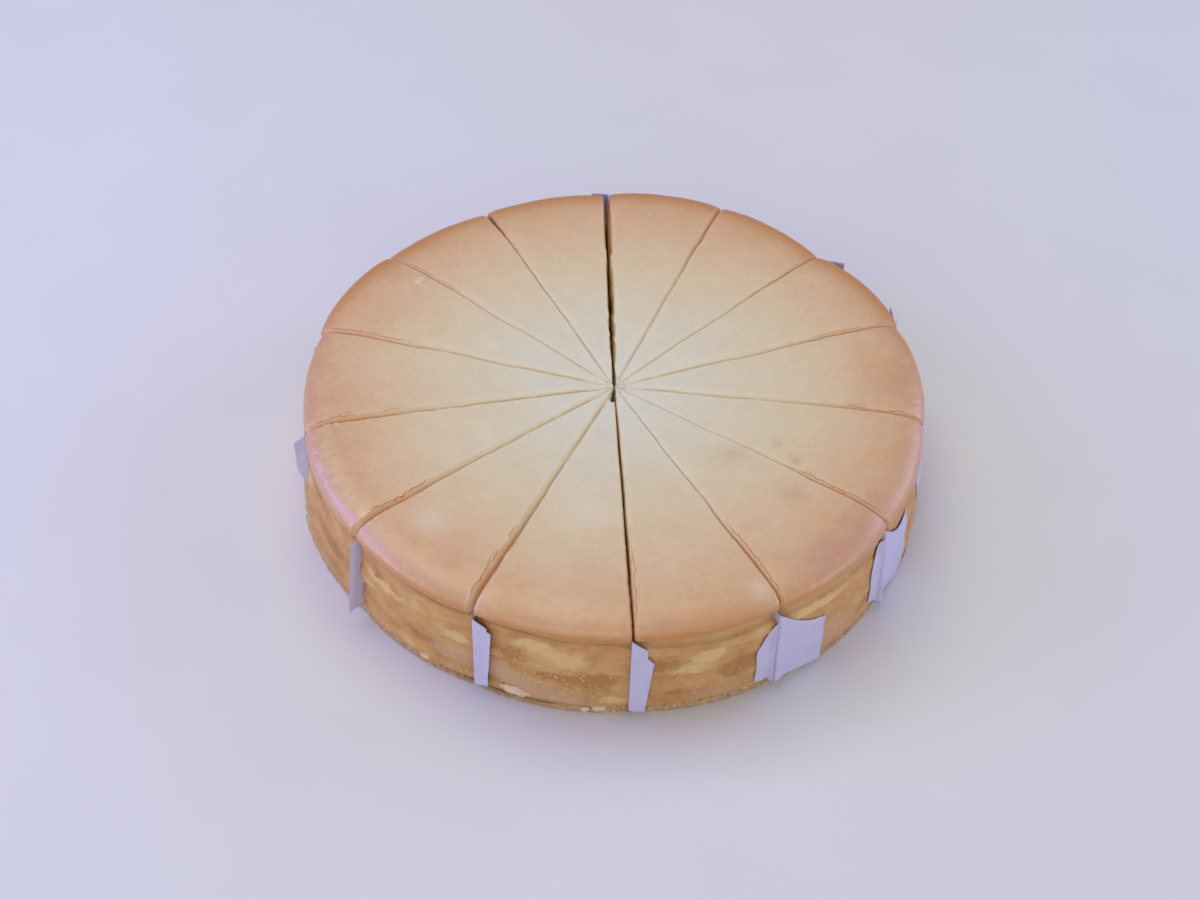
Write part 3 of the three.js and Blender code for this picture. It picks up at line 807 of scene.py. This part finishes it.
def ply_tree():
    """Tree for one paper ply: out along its cut, round the fold and along its flap, laid on the side."""
    tree, given = new_tree("paper ply", PLY_INPUTS, takes_mesh=True)
    mesh, step, row = grid_shares(tree, sum(PLY_PARTS), PLY_ROWS)
    inside, turn, flap = part_shares(step, PLY_PARTS)
    rise = row / PLY_ROWS
    bend = given["Lean"] * turn
    along = given["Lean"] + given["Curl"] * flap * 0.5
    length = given["Length"] - given["Nip"] * (1.0 - rise)
    x = blend(given["Inner radius"], given["Fold radius"] - FOLD_RADIUS, inside) + bend.sin() * FOLD_RADIUS
    across = inside + rise.smooth(0.74, 1.0) * (1.0 - inside)
    y = (1.0 - bend.cos()) * FOLD_RADIUS + given["Slant"] * (1.0 - across * 2.0)
    x = x + along.cos() * length * flap
    y = y + along.sin() * length * flap

    share = (turn * FOLD_RADIUS + flap * given["Length"]) / (given["Length"] + FOLD_RADIUS)
    edge_place = vector(tree, flap * given["Length"], given["Heading"] * 9.0, 0.0)
    dip = (share * math.pi).sin() * given["Dip"]
    top = blend(given["Top at fold"], given["Top at end"], share) - dip + uneven(edge_place, 2.0, 0.3)
    foot = blend(given["Foot at fold"], given["Foot at end"], share) + uneven(edge_place, 2.0, 0.3)
    top = blend(given["Top inside"], top, inside ** 12.0)
    foot = blend(SLIP_FOOT, foot, inside)
    height = blend(foot, top, rise)
    sheet = vector(tree, flap * given["Length"], height, given["Heading"] * 9.0)
    crimp = (rise.bump(0.05, 0.03) - rise.bump(0.1, 0.03)) * given["Crimp"] * (1.0 - flap)
    lift = (uneven(sheet, 11.0, 1.0) + uneven(sheet, 3.5, 0.16) + crimp) * flap.smooth(0.0, 0.4)
    x = x + lift * along.sin() + given["Spread"] * (1.0 - height / CREASE_HEIGHT).most(0.0) * turn
    y = (y - lift * along.cos()) * given["Side"]
    y = y + cut_sway(x.least(RIM_RADIUS), given["Cut"], given["Sway"], given["Bend"])
    angle = given["Heading"] + calc(tree, "ARCTAN2", y, x)
    wall, even_wall = wall_radius(given["Mesh"], angle, height)
    free = (x * x + y * y) ** 0.5
    pressed = blend(free, even_wall + PRESS_GAP, given["Press"] * flap.smooth(0.0, 0.25))
    pressed = pressed.most((wall + LEAST_GAP) * flap.smooth(0.0, 0.02) * given["Press"].smooth(0.0, 0.1))
    turned = vector(tree, pressed * angle.cos(), pressed * angle.sin(), height)
    return close_tree(thickened(moved(mesh, turned), SLIP_THICKNESS), given["Finish"], weld=0.001)


def thickened(mesh, thickness):
    """A sheet given a thickness and closed all round."""
    tree = mesh.tree
    raised = add_node(tree, "GeometryNodeExtrudeMesh",
                      named={"Mesh": mesh, "Offset Scale": thickness * MM, "Individual": False})
    under = add_node(tree, "GeometryNodeFlipFaces", named={"Mesh": mesh})
    both = tree.nodes.new("GeometryNodeJoinGeometry")
    tree.links.new(raised.outputs[0], both.inputs[0])
    tree.links.new(under.outputs[0], both.inputs[0])
    return Field(tree, both.outputs[0])


def slip_mesh(index, tree, finish, beside):
    """The plies of one slip as one mesh, those that are pressed laid on the pieces beside the cut."""
    row = CUTS[index]
    pressed = any(sheet["press"] for sheet in row["plies"])
    side = joined(beside if pressed else [], "side", finish)
    fold_radius = RIM_RADIUS + row["notch"] + FOLD_REACH
    plies = []
    for number, sheet in enumerate(row["plies"]):
        same_side = number == 0 and sheet["side"] == row["plies"][-1]["side"]
        values = {
            "Heading": wrapped(heading_of(index)), "Cut": float(index), "Side": float(sheet["side"]),
            "Sway": row["sway"], "Bend": row["bend"],
            "Inner radius": row["slip_from"] if number == 0 else fold_radius - 5.0,
            "Fold radius": fold_radius + (PLY_STEP if same_side else 0.0),
            "Lean": math.radians(sheet["lean"]), "Curl": math.radians(sheet["curl"]),
            "Top at fold": float(sheet["top"][0]), "Top at end": float(sheet["top"][1]),
            "Foot at fold": float(sheet["foot"][0]), "Foot at end": float(sheet["foot"][1]),
            "Top inside": row["slip_top"], "Slant": row["mouth"] * 0.9, "Finish": finish,
        }
        for given in ("length", "nip", "dip", "spread", "crimp", "press"):
            values[given.capitalize()] = float(sheet[given])
        plies.append(grow("ply", tree, values, side.copy()))
    return joined(plies, "slip", finish)


# Crumbs and flakes

CRUMB_INPUTS = ["Density", "Size", "Seed", "Lowest", "Highest"]
# The smallest crumb, as shares of the largest along its three axes
LEAST_CRUMB = (0.3, 0.3, 0.25)


def lumpy_ball(tree, place, subdivisions, lumped, size, depth):
    """A ball of unit radius, pushed in and out by noise drawn at the places given in lumped."""
    ball = made(tree, "GeometryNodeMeshIcoSphere", named={"Radius": 1.0, "Subdivisions": subdivisions})
    lumps = scaled(place, 1.0 + uneven(lumped, size, depth, detail=4.0, rough=0.6))
    return made(tree, "GeometryNodeSetPosition", named={"Geometry": ball, "Position": lumps})


def crumb_tree():
    """Tree that scatters small lumpy crumbs over a mesh, between two heights."""
    tree, given = new_tree("stray crumbs", CRUMB_INPUTS, takes_mesh=True)
    place = own_place(tree)
    in_mm = scaled(place, 1.0 / MM)
    x, y, z = split(in_mm)
    degrees = calc(tree, "ARCTAN2", y, x) * (180.0 / math.pi)
    clumps = patches(degrees, z, CRUMBED) + noise(in_mm, 14.0, detail=2.0).smooth(0.52, 0.7) * 0.05
    low, high = given["Lowest"], given["Highest"]
    band = z.smooth(low, low + 0.5) * (1.0 - z.smooth(high * 0.7, high))
    chosen = clumps * band * ((x * x + y * y) ** 0.5).smooth(122.0, 123.5)
    spread = made(tree, "GeometryNodeDistributePointsOnFaces", distribute_method="RANDOM",
                  named={"Mesh": given["Mesh"], "Density": given["Density"] * chosen, "Seed": given["Seed"]})
    crumb = lumpy_ball(tree, place, 2, place, 0.8, 1.3)
    turn = made(tree, "FunctionNodeRandomValue", (0.0, 0.0, 0.0), (math.tau, math.tau, math.tau),
                data_type="FLOAT_VECTOR", named={"Seed": given["Seed"]})
    size = made(tree, "FunctionNodeRandomValue", LEAST_CRUMB, data_type="FLOAT_VECTOR",
                named={"Seed": given["Seed"] + 7.0})
    sizes = scaled(size, given["Size"] * MM)
    placed = made(tree, "GeometryNodeInstanceOnPoints",
                  named={"Points": spread, "Instance": crumb, "Rotation": turn, "Scale": sizes})
    real = made(tree, "GeometryNodeRealizeInstances", named={"Geometry": placed})
    return close_tree(real, given["Finish"], weld=0.0)


FLAKE_INPUTS = ["Number", "Half length", "Half width", "Half thickness", "Turn"]


def flake_tree():
    """Tree for one flat, ragged flake of torn skin, lying flat about the origin."""
    tree, given = new_tree("loose flake", FLAKE_INPUTS)
    place = own_place(tree)
    x, y, z = split(place)
    ragged = vector(tree, x, y, z * 0.3 + given["Number"] * 7.0)
    ball = lumpy_ball(tree, place, 5, ragged, 0.8, 1.3)
    x, y = x * given["Half length"], y * given["Half width"]
    turned = vector(tree, x * given["Turn"].cos() - y * given["Turn"].sin(),
                    x * given["Turn"].sin() + y * given["Turn"].cos(), z * given["Half thickness"])
    return close_tree(moved(ball, turned), given["Finish"], weld=0.0)


def laid_on(surfaces, outside, inward):
    """Where a line from outside first meets any of the surfaces."""
    hits = [hit for hit, *_ in (surface.ray_cast(outside, inward) for surface in surfaces) if hit]
    return min(hits, key=lambda hit: (hit - outside).length)


def grown_flakes(meshes, finish):
    """The loose flakes, laid on the slices and bases under them."""
    tree = flake_tree()
    surfaces = [BVHTree.FromPolygons([v.co for v in mesh.vertices], [p.vertices[:] for p in mesh.polygons])
                for mesh in meshes]
    flakes = []
    for x, y, half_length, half_width, turn in TOP_FLAKES:
        above = Vector((x * MM, y * MM, 2.0 * CREST_HEIGHT * MM))
        flakes.append((above, Vector((0.0, 0.0, -1.0)), half_length, half_width, FLAKE_HALF_THICKNESS, turn))
    for degrees, height, half_length, half_width, turn in SIDE_FLAKES:
        out = Vector((math.cos(math.radians(degrees)), math.sin(math.radians(degrees)), 0.0))
        beside = out * (2.0 * RIM_RADIUS * MM) + Vector((0.0, 0.0, height * MM))
        flakes.append((beside, -out, half_length, half_width, CHIP_HALF_THICKNESS, turn))
    grown = []
    for number, (outside, inward, half_length, half_width, half_thickness, turn) in enumerate(flakes):
        values = {"Number": float(number), "Half length": half_length, "Half width": half_width,
                  "Half thickness": half_thickness, "Turn": math.radians(turn), "Finish": finish}
        mesh = grow("flake", tree, values)
        turned = (-inward).to_track_quat("Z", "Y").to_matrix().to_4x4()
        mesh.transform(Matrix.Translation(laid_on(surfaces, outside, inward)) @ turned)
        grown.append(mesh)
    return grown


# Finishes

def tone(red, green, blue):
    """A colour given as it looks on a screen, as the linear value that a shader takes."""
    linear = [((part / 255.0 + 0.055) / 1.055) ** 2.4 for part in (red, green, blue)]
    return (*linear, 1.0)


def new_finish(name):
    """A material with its shader, and the object's own coordinates in millimetres."""
    finish = bpy.data.materials.new(name)
    finish.use_nodes = True
    tree = finish.node_tree
    coordinates = made(tree, "ShaderNodeTexCoord", output="Object")
    return finish, tree.nodes["Principled BSDF"], scaled(coordinates, 1.0 / MM)


def kept_field(tree, name):
    """A field that was stored on the mesh."""
    return made(tree, "ShaderNodeAttribute", attribute_name=name, output="Fac")


def mixed(first, second, share):
    """From one colour to another as share goes from 0 to 1."""
    node = add_node(share.tree, "ShaderNodeMix", data_type="RGBA")
    for socket, value in zip((node.inputs[0], node.inputs[6], node.inputs[7]), (share, first, second)):
        feed(share.tree, socket, value)
    return Field(share.tree, node.outputs[2])


def layered(colour, layers):
    """A colour with others laid over it in turn, each with its share from 0 to 1."""
    for over, share in layers:
        colour = mixed(colour, over, share)
    return colour


def toned(share, stops):
    """Colour from a row of stops, each a place from 0 to 1 and a tone."""
    node = add_node(share.tree, "ShaderNodeValToRGB", share)
    ramp = node.color_ramp
    for position, _ in stops[1:-1]:
        ramp.elements.new(position)
    for element, (position, colour) in zip(ramp.elements, stops):
        element.position = position
        element.color = colour
    return Field(share.tree, node.outputs[0])


def set_finish(shader, colour, roughness, specular, height, depth):
    """Gives a shader a colour, a roughness and a fine relief of a depth in millimetres."""
    tree = colour.tree
    relief = made(tree, "ShaderNodeBump", named={"Height": height, "Distance": depth * MM, "Strength": 1.0})
    for name, value in (("Base Color", colour), ("Roughness", roughness), ("Normal", relief)):
        feed(tree, shader.inputs[name], value)
    shader.inputs["Specular IOR Level"].default_value = specular


# Tones of the top and the roll
TOASTED = tone(206, 134, 58)
# Painted highlight along the lip's edge
LIP_EDGE_HIGHLIGHT = tone(236, 202, 156)
PORE = tone(168, 116, 84)
TORN_SKIN = tone(238, 233, 216)
TORN_SHADE = tone(192, 152, 98)
HOLE_WALL = tone(190, 148, 96)
# Painted shade at the bottom of the hole
HOLE_FLOOR_SHADE = tone(104, 68, 38)
BROWN_SPOT = tone(198, 146, 104)
PALE_SPOT = tone(238, 230, 210)
# Mauve on the right rim: browning with a painted cool sheen
MAUVE_TINT_AND_SHEEN_SPOT = tone(198, 142, 126)
SPECK = tone(150, 104, 68)

# Tones of the side, in pairs from darker to lighter where they vary
CRUST = tone(152, 98, 48), tone(202, 144, 82)
SCRAPED_CRUMB = tone(222, 184, 122), tone(240, 208, 152)
FLOURY_CRUMB = tone(186, 150, 120), tone(222, 192, 164)
FOLDED_STRIP = tone(198, 152, 100), tone(226, 186, 132)
# Painted shade of small pits in the crust
PIT_SHADE = tone(104, 62, 28)
# Painted shade for the side just under the overhanging lip
UNDER_LIP_SHADE = tone(124, 76, 38)

# Tones at the cuts, in pairs from the middle to the rim
GROOVE = tone(236, 219, 174), tone(226, 168, 108)
# Painted highlight on the skin beside the grooves
GROOVE_EDGE_HIGHLIGHT = tone(242, 236, 222), tone(238, 208, 182)
# Painted shade down the middle of the grooves
CUT_LINE_SHADE = tone(192, 166, 114), tone(166, 108, 60)
CRACK = tone(188, 128, 64)
CUT_CRUMB = tone(188, 144, 92), tone(224, 192, 138)

# Tones of crumbs, paper and floor
SANDY = tone(152, 112, 72), tone(226, 196, 152)
GOLDEN = tone(206, 162, 106), tone(240, 212, 164)
PALE = tone(222, 188, 154), tone(246, 227, 200)
PALE_GRAIN = tone(238, 218, 178)
BROKEN_SHADE = tone(70, 46, 26)
PAPER = tone(190, 186, 222), tone(212, 209, 238)
FLOOR = tone(226, 226, 228), tone(232, 232, 233)

# Tones that run from the middle to the rim, and from the hollows of the side to its ridges
SKIN_TONES = [(0.0, tone(228, 225, 205)), (0.2, tone(228, 221, 195)), (0.42, tone(228, 213, 178)),
              (0.62, tone(228, 205, 165)), (0.78, tone(226, 193, 150)), (0.9, tone(222, 180, 136)),
              (1.0, tone(216, 167, 123))]
SIDE_TONES = [(0.0, tone(172, 116, 60)), (0.35, tone(202, 148, 88)), (0.65, tone(214, 166, 105)),
              (1.0, tone(228, 190, 130))]


def skin_colour(place):
    """Top and roll: pale in the middle, browned in clouds to the rim, toasted on the roll."""
    tree = place.tree
    x, y, _ = split(place)
    radius = (x * x + y * y) ** 0.5
    freckle = noise(place, 3.4, detail=3.0, rough=0.6)
    mottle = noise(place, 24.0, detail=4.0, rough=0.55)
    browning = radius + uneven(place, 24.0, 34.0, detail=4.0, rough=0.62) + uneven(place, 60.0, 28.0)
    browning = browning + uneven(place, 3.4, 17.0, detail=3.0)
    skin = toned(browning / RIM_RADIUS, SKIN_TONES)
    skin = scaled(skin, 1.0 + uneven(place, 7.0, 0.15, detail=5.0, rough=0.7) + uneven(place, 1.8, 0.09))
    toast = kept_field(tree, "toast") + uneven(place, 5.0, 0.5, detail=3.0) * kept_field(tree, "roll")
    pore = noise(place, 1.2, detail=2.0).smooth(0.58, 0.7) * kept_field(tree, "pimpled")
    torn = noise(place, 1.6, detail=3.0)
    hole = patches(x, y, HOLE) + uneven(place, 1.2, 0.5, detail=3.0)
    speck = 1.0 - grains(place, 8.0).smooth(0.02, 0.05)
    return layered(skin, [
        (TOASTED, toast.smooth(0.0, 0.9) * 0.92),
        # Painted highlight along the lip's edge
        (LIP_EDGE_HIGHLIGHT, kept_field(tree, "edge") * 0.6),
        (PORE, pore * 0.15),
        (TORN_SKIN, radius.bump(0.0, 10.0) * (1.0 - torn.smooth(0.4, 0.6)) * 0.5),
        (TORN_SHADE, radius.bump(0.0, 6.0) * torn.smooth(0.5, 0.64) * 0.6),
        (HOLE_WALL, hole.smooth(0.1, 0.3) * 0.8),
        # Painted shade at the bottom of the hole
        (HOLE_FLOOR_SHADE, hole.smooth(0.4, 0.75) * 0.95),
        (BROWN_SPOT, spots(x, y, BROWN_SPOTS).clamp() * blend(0.0, 0.55, freckle)),
        (PALE_SPOT, spots(x, y, PALE_SPOTS).clamp() * blend(0.1, 0.6, mottle)),
        (MAUVE_TINT_AND_SHEEN_SPOT, spots(x, y, MAUVE_TINT_AND_SHEEN_SPOTS).clamp() * blend(0.1, 0.6, freckle)),
        (SPECK, speck * noise(place, 30.0).smooth(0.5, 0.6) * 0.55),
    ])


def side_colour(place):
    """Side: streaked golden brown, scraped to paler yellow, floury and ragged in places."""
    tree = place.tree
    _, _, z = split(place)
    wrap = streaked(kept_field(tree, "turn"), z)
    streak = noise(wrap, 8.0, detail=5.0, rough=0.55) * 0.5 + noise(place, 7.0, detail=6.0, rough=0.6) * 0.5
    # The tone also follows the relief: painted shade makes the side's hollows darker
    side = toned((streak * 2.4 - 0.72 + kept_field(tree, "relief") * 0.14).clamp(), SIDE_TONES)
    ragged = uneven(wrap, 3.0, 0.9, detail=6.0, rough=0.7) + uneven(place, 1.6, 0.5, detail=5.0, rough=0.7)
    fine = noise(place, 1.0, detail=4.0, rough=0.7)
    brown, scraped, floury = [kept_field(tree, name) + ragged for name in ("brown", "scrape", "flour")]
    # Painted shade of small pits in the browned crust
    pit = noise(place, 1.3, detail=3.0, rough=0.6).smooth(0.6, 0.72) * brown.smooth(0.0, 0.6)
    return layered(side, [
        (mixed(*CRUST, fine), brown.smooth(0.25, 0.9) * 0.75),
        (mixed(*SCRAPED_CRUMB, fine), scraped.smooth(0.25, 0.8) * 0.85),
        (mixed(*FLOURY_CRUMB, fine), floury.smooth(0.25, 0.95) * 0.55),
        (mixed(*FOLDED_STRIP, streak), kept_field(tree, "strip").smooth(0.25, 0.6) * 0.85),
        (PIT_SHADE, pit * 0.55),
        # Painted shade just under the lip
        (UNDER_LIP_SHADE, kept_field(tree, "under") * 0.65),
    ])


def baked_skin():
    """The filling: a satin skin, pale in the middle and browned to the rim, with a golden, scraped side."""
    finish, shader, place = new_finish("baked skin")
    tree = place.tree
    names = ("side", "reach", "bulged", "pimpled", "even_radius", "number")
    side, reach, bulged, pimpled, radius, number = [kept_field(tree, name) for name in names]
    freckle = noise(place, 3.4, detail=3.0, rough=0.6)
    to_rim = radius.smooth(50.0, 110.0)

    # Grooves at the cuts, a painted highlight on the skin where it bends down beside them, and the cracks
    crack, groove_edge_highlight = 0.0, 0.0
    for end, along in zip(("start", "end"), along_cuts(radius, number)):
        beyond = kept_field(tree, end + "_beyond")
        crack = crack_field(radius, beyond, along) * kept_field(tree, end + "_crack") + crack
        groove_edge_highlight = beyond.bump(0.6, 0.7) + groove_edge_highlight
    frayed = uneven(place, 1.4, 0.6, detail=3.0, rough=0.65)
    band = (1.0 - (reach + frayed).smooth(0.35, 0.95)) * (1.0 - side * 0.6)
    groove_edge_highlight = groove_edge_highlight.clamp() * (1.0 - side) * (1.0 - band) * radius.smooth(6.0, 20.0)
    # A darker line down each groove: painted shade in the cut
    line = (1.0 - reach.smooth(0.12, 0.6)) * noise(place, 9.0, detail=3.0).smooth(0.2, 0.5)
    line = line * radius.smooth(7.0, 16.0)
    cut_crumb = mixed(*CUT_CRUMB, noise(place, 2.0, detail=4.0, rough=0.65))
    colour = layered(skin_colour(place), [
        (side_colour(place), side.smooth(0.3, 0.7)),
        (mixed(*GROOVE, radius.smooth(56.0, 116.0)), band * 0.85),
        (mixed(*GROOVE_EDGE_HIGHLIGHT, to_rim), groove_edge_highlight * 0.16),
        (mixed(*CUT_LINE_SHADE, to_rim), line * 0.6),
        (CRACK, crack.smooth(0.06, 0.5) * 0.85),
        (cut_crumb, kept_field(tree, "face").smooth(0.1, 0.6) * 0.9),
    ])

    # Gloss, fine relief and the sheen on the rim
    gloss = blend(0.46, 0.56, freckle) - bulged * 0.18 + side * 0.05 + band * 0.1
    pores = noise(place, 1.2, detail=2.0).smooth(0.55, 0.7) * pimpled
    rough = side * noise(place, 1.3, detail=4.0, rough=0.65)
    fine = noise(place, 0.9, detail=3.0, rough=0.6) * 0.4 + freckle * 0.5 + noise(place, 0.35) * 0.2
    set_finish(shader, colour, gloss, 0.5, fine - crack * 0.3 - pores * 0.45 + rough * 1.6, 0.26)
    x, y, _ = split(place)
    right = (calc(tree, "ARCTAN2", y, x) * (180.0 / math.pi)).bump(*RIGHT_SHEEN) * bulged
    feed(tree, shader.inputs["Coat Weight"], (pimpled * 0.95 + right * 0.5).clamp())
    shader.inputs["Coat Roughness"].default_value = COAT_ROUGHNESS
    shader.inputs["Coat IOR"].default_value = COAT_IOR
    return finish


def biscuit_crumb(name, dark, light):
    """Baked biscuit crumb: sandy, with paler and darker grains."""
    finish, shader, place = new_finish(name)
    tree = place.tree
    grain = noise(place, 1.1, detail=4.0, rough=0.7)
    share = (grain * 1.9 + noise(place, 6.0) * 0.5 - 0.7).clamp()
    colour = mixed(dark, light, share)
    colour = mixed(colour, PALE_GRAIN, (1.0 - grains(place, 2.6).smooth(0.1, 0.28)) * 0.5)
    # Painted shade where the base has broken away under the filling
    colour = mixed(colour, BROKEN_SHADE, kept_field(tree, "opened").clamp() * 0.7)
    set_finish(shader, colour, blend(0.75, 0.95, grain), 0.25, grain, 0.5)
    return finish


def waxed_paper():
    """Thin waxed paper: cool white, a little cloudy, with faint fibres."""
    finish, shader, place = new_finish("waxed paper")
    fibre = noise(place, 0.8, detail=4.0, rough=0.7)
    cloud = noise(place, 9.0, detail=2.0)
    colour = mixed(*PAPER, (fibre * 0.4 + cloud * 0.7).clamp())
    set_finish(shader, colour, blend(0.36, 0.5, fibre), 0.4, fibre, 0.05)
    return finish


# Stage

FLOOR_HALF_WIDTH = 6.0


def floor():
    """A plain pale floor, wide enough to fill the view."""
    finish, shader, place = new_finish("plain floor")
    feed(place.tree, shader.inputs["Base Color"], mixed(*FLOOR, noise(place, 60.0)))
    shader.inputs["Roughness"].default_value = 0.7
    mesh = bpy.data.meshes.new("floor")
    half = FLOOR_HALF_WIDTH
    corners = [(-half, -half, 0.0), (half, -half, 0.0), (half, half, 0.0), (-half, half, 0.0)]
    mesh.from_pydata(corners, [], [(0, 1, 2, 3)])
    mesh.materials.append(finish)
    sheet = bpy.data.objects.new("floor", mesh)
    bpy.context.scene.collection.objects.link(sheet)


def soft_light(name, place, width, height, power, colour):
    """A soft light that faces the cake."""
    lamp = bpy.data.lights.new(name, "AREA")
    lamp.shape = "RECTANGLE"
    lamp.size = width
    lamp.size_y = height
    lamp.energy = power
    lamp.color = colour
    holder = bpy.data.objects.new(name, lamp)
    holder.location = place
    aim = Vector((0.0, 0.0, CREST_HEIGHT / 2 * MM)) - Vector(place)
    holder.rotation_mode = "QUATERNION"
    holder.rotation_quaternion = aim.to_track_quat("-Z", "Y")
    bpy.context.scene.collection.objects.link(holder)


def studio_light():
    """Warm light from above and in front, cool light from both sides, and a pale room."""
    soft_light("overhead", (-0.2, 0.35, 1.25), 1.0, 1.0, 6.5, (1.0, 0.99, 0.75))
    soft_light("front", (-0.1, -1.3, 0.65), 1.0, 1.0, 4.8, (1.0, 0.985, 0.91))
    soft_light("left fill", (-1.25, -0.45, 0.28), 0.6, 0.6, 3.2, (0.95, 0.93, 1.0))
    soft_light("right fill", (1.25, -0.5, 0.28), 0.6, 0.6, 3.2, (0.94, 0.91, 1.0))
    soft_light("cool left", (-1.0, 0.1, 0.66), 0.6, 0.7, 6.4, (0.3, 0.3, 1.0))
    soft_light("cool right", (1.0, 0.4, 0.54), 0.8, 0.6, 4.6, (0.5, 0.5, 1.0))
    world = bpy.data.worlds.new("pale room")
    world.use_nodes = True
    sky = world.node_tree.nodes["Background"]
    sky.inputs["Color"].default_value = (0.86, 0.88, 0.93, 1.0)
    sky.inputs["Strength"].default_value = 0.22
    bpy.context.scene.world = world
    bpy.context.scene.view_settings.view_transform = "Standard"


CAMERA_EYE = Vector((0.0, -0.5672, 0.6126))
CAMERA_TARGET = Vector((-0.0048, -0.0386, 0.0552))
CAMERA_ROLL_DEG = 1.77
CAMERA_LENS = 58.49


def camera():
    """The photograph's point of view."""
    lens = bpy.data.cameras.new("camera")
    lens.lens = CAMERA_LENS
    holder = bpy.data.objects.new("camera", lens)
    holder.location = CAMERA_EYE
    facing = (CAMERA_TARGET - CAMERA_EYE).to_track_quat("-Z", "Y")
    holder.rotation_mode = "QUATERNION"
    holder.rotation_quaternion = facing @ Quaternion((0.0, 0.0, 1.0), math.radians(CAMERA_ROLL_DEG))
    bpy.context.scene.collection.objects.link(holder)
    bpy.context.scene.camera = holder


# How crumbs lie on the filling and on the base: how many to a square metre, size, and between which heights
FILLING_CRUMBS = dict(Density=150000.0, Size=0.75, Lowest=5.0, Highest=36.0)
BASE_CRUMBS = dict(Density=260000.0, Size=1.0, Lowest=0.9, Highest=9.0)


def dress_cake():
    """Grows every piece of the cake and puts it in place of its solid."""
    skin, paper = baked_skin(), waxed_paper()
    sandy = biscuit_crumb("biscuit crumb", *SANDY)
    golden = biscuit_crumb("golden crumb", *GOLDEN)
    pale = biscuit_crumb("pale flake", *PALE)
    slice_of, base_of, ply_of, crumbs_of = filling_tree(), base_tree(), ply_tree(), crumb_tree()
    crumbs = []
    fillings = [grow("filling", slice_of, slice_values(index, skin)) for index in range(CUT_COUNT)]
    bases = [grow("base", base_of, slice_values(index, sandy)) for index in range(CUT_COUNT)]
    for index, (filling, base) in enumerate(zip(fillings, bases)):
        number = f"{index + 1:02d}"
        slip = slip_mesh(index, ply_of, paper, [filling, base, fillings[index - 1], bases[index - 1]])
        for mesh, lying in ((filling, FILLING_CRUMBS), (base, BASE_CRUMBS)):
            values = dict(lying, Seed=float(index), Finish=golden)
            crumbs.append(grow("crumbs", crumbs_of, values, mesh.copy()))
        place_piece(f"baked_slice_{number}", filling, f"filling_{number}")
        place_piece(f"crumb_layer_{number}", base, f"crumb_base_{number}")
        place_piece(f"waxed_slip_{number}", slip, f"paper_slip_{number}")
    place_piece("stuck_crumbs", joined(crumbs, "crumbs", golden))
    place_piece("loose_flakes", joined(grown_flakes(fillings + bases, pale), "flakes", pale))


camera()
dress_cake()
floor()
studio_light()
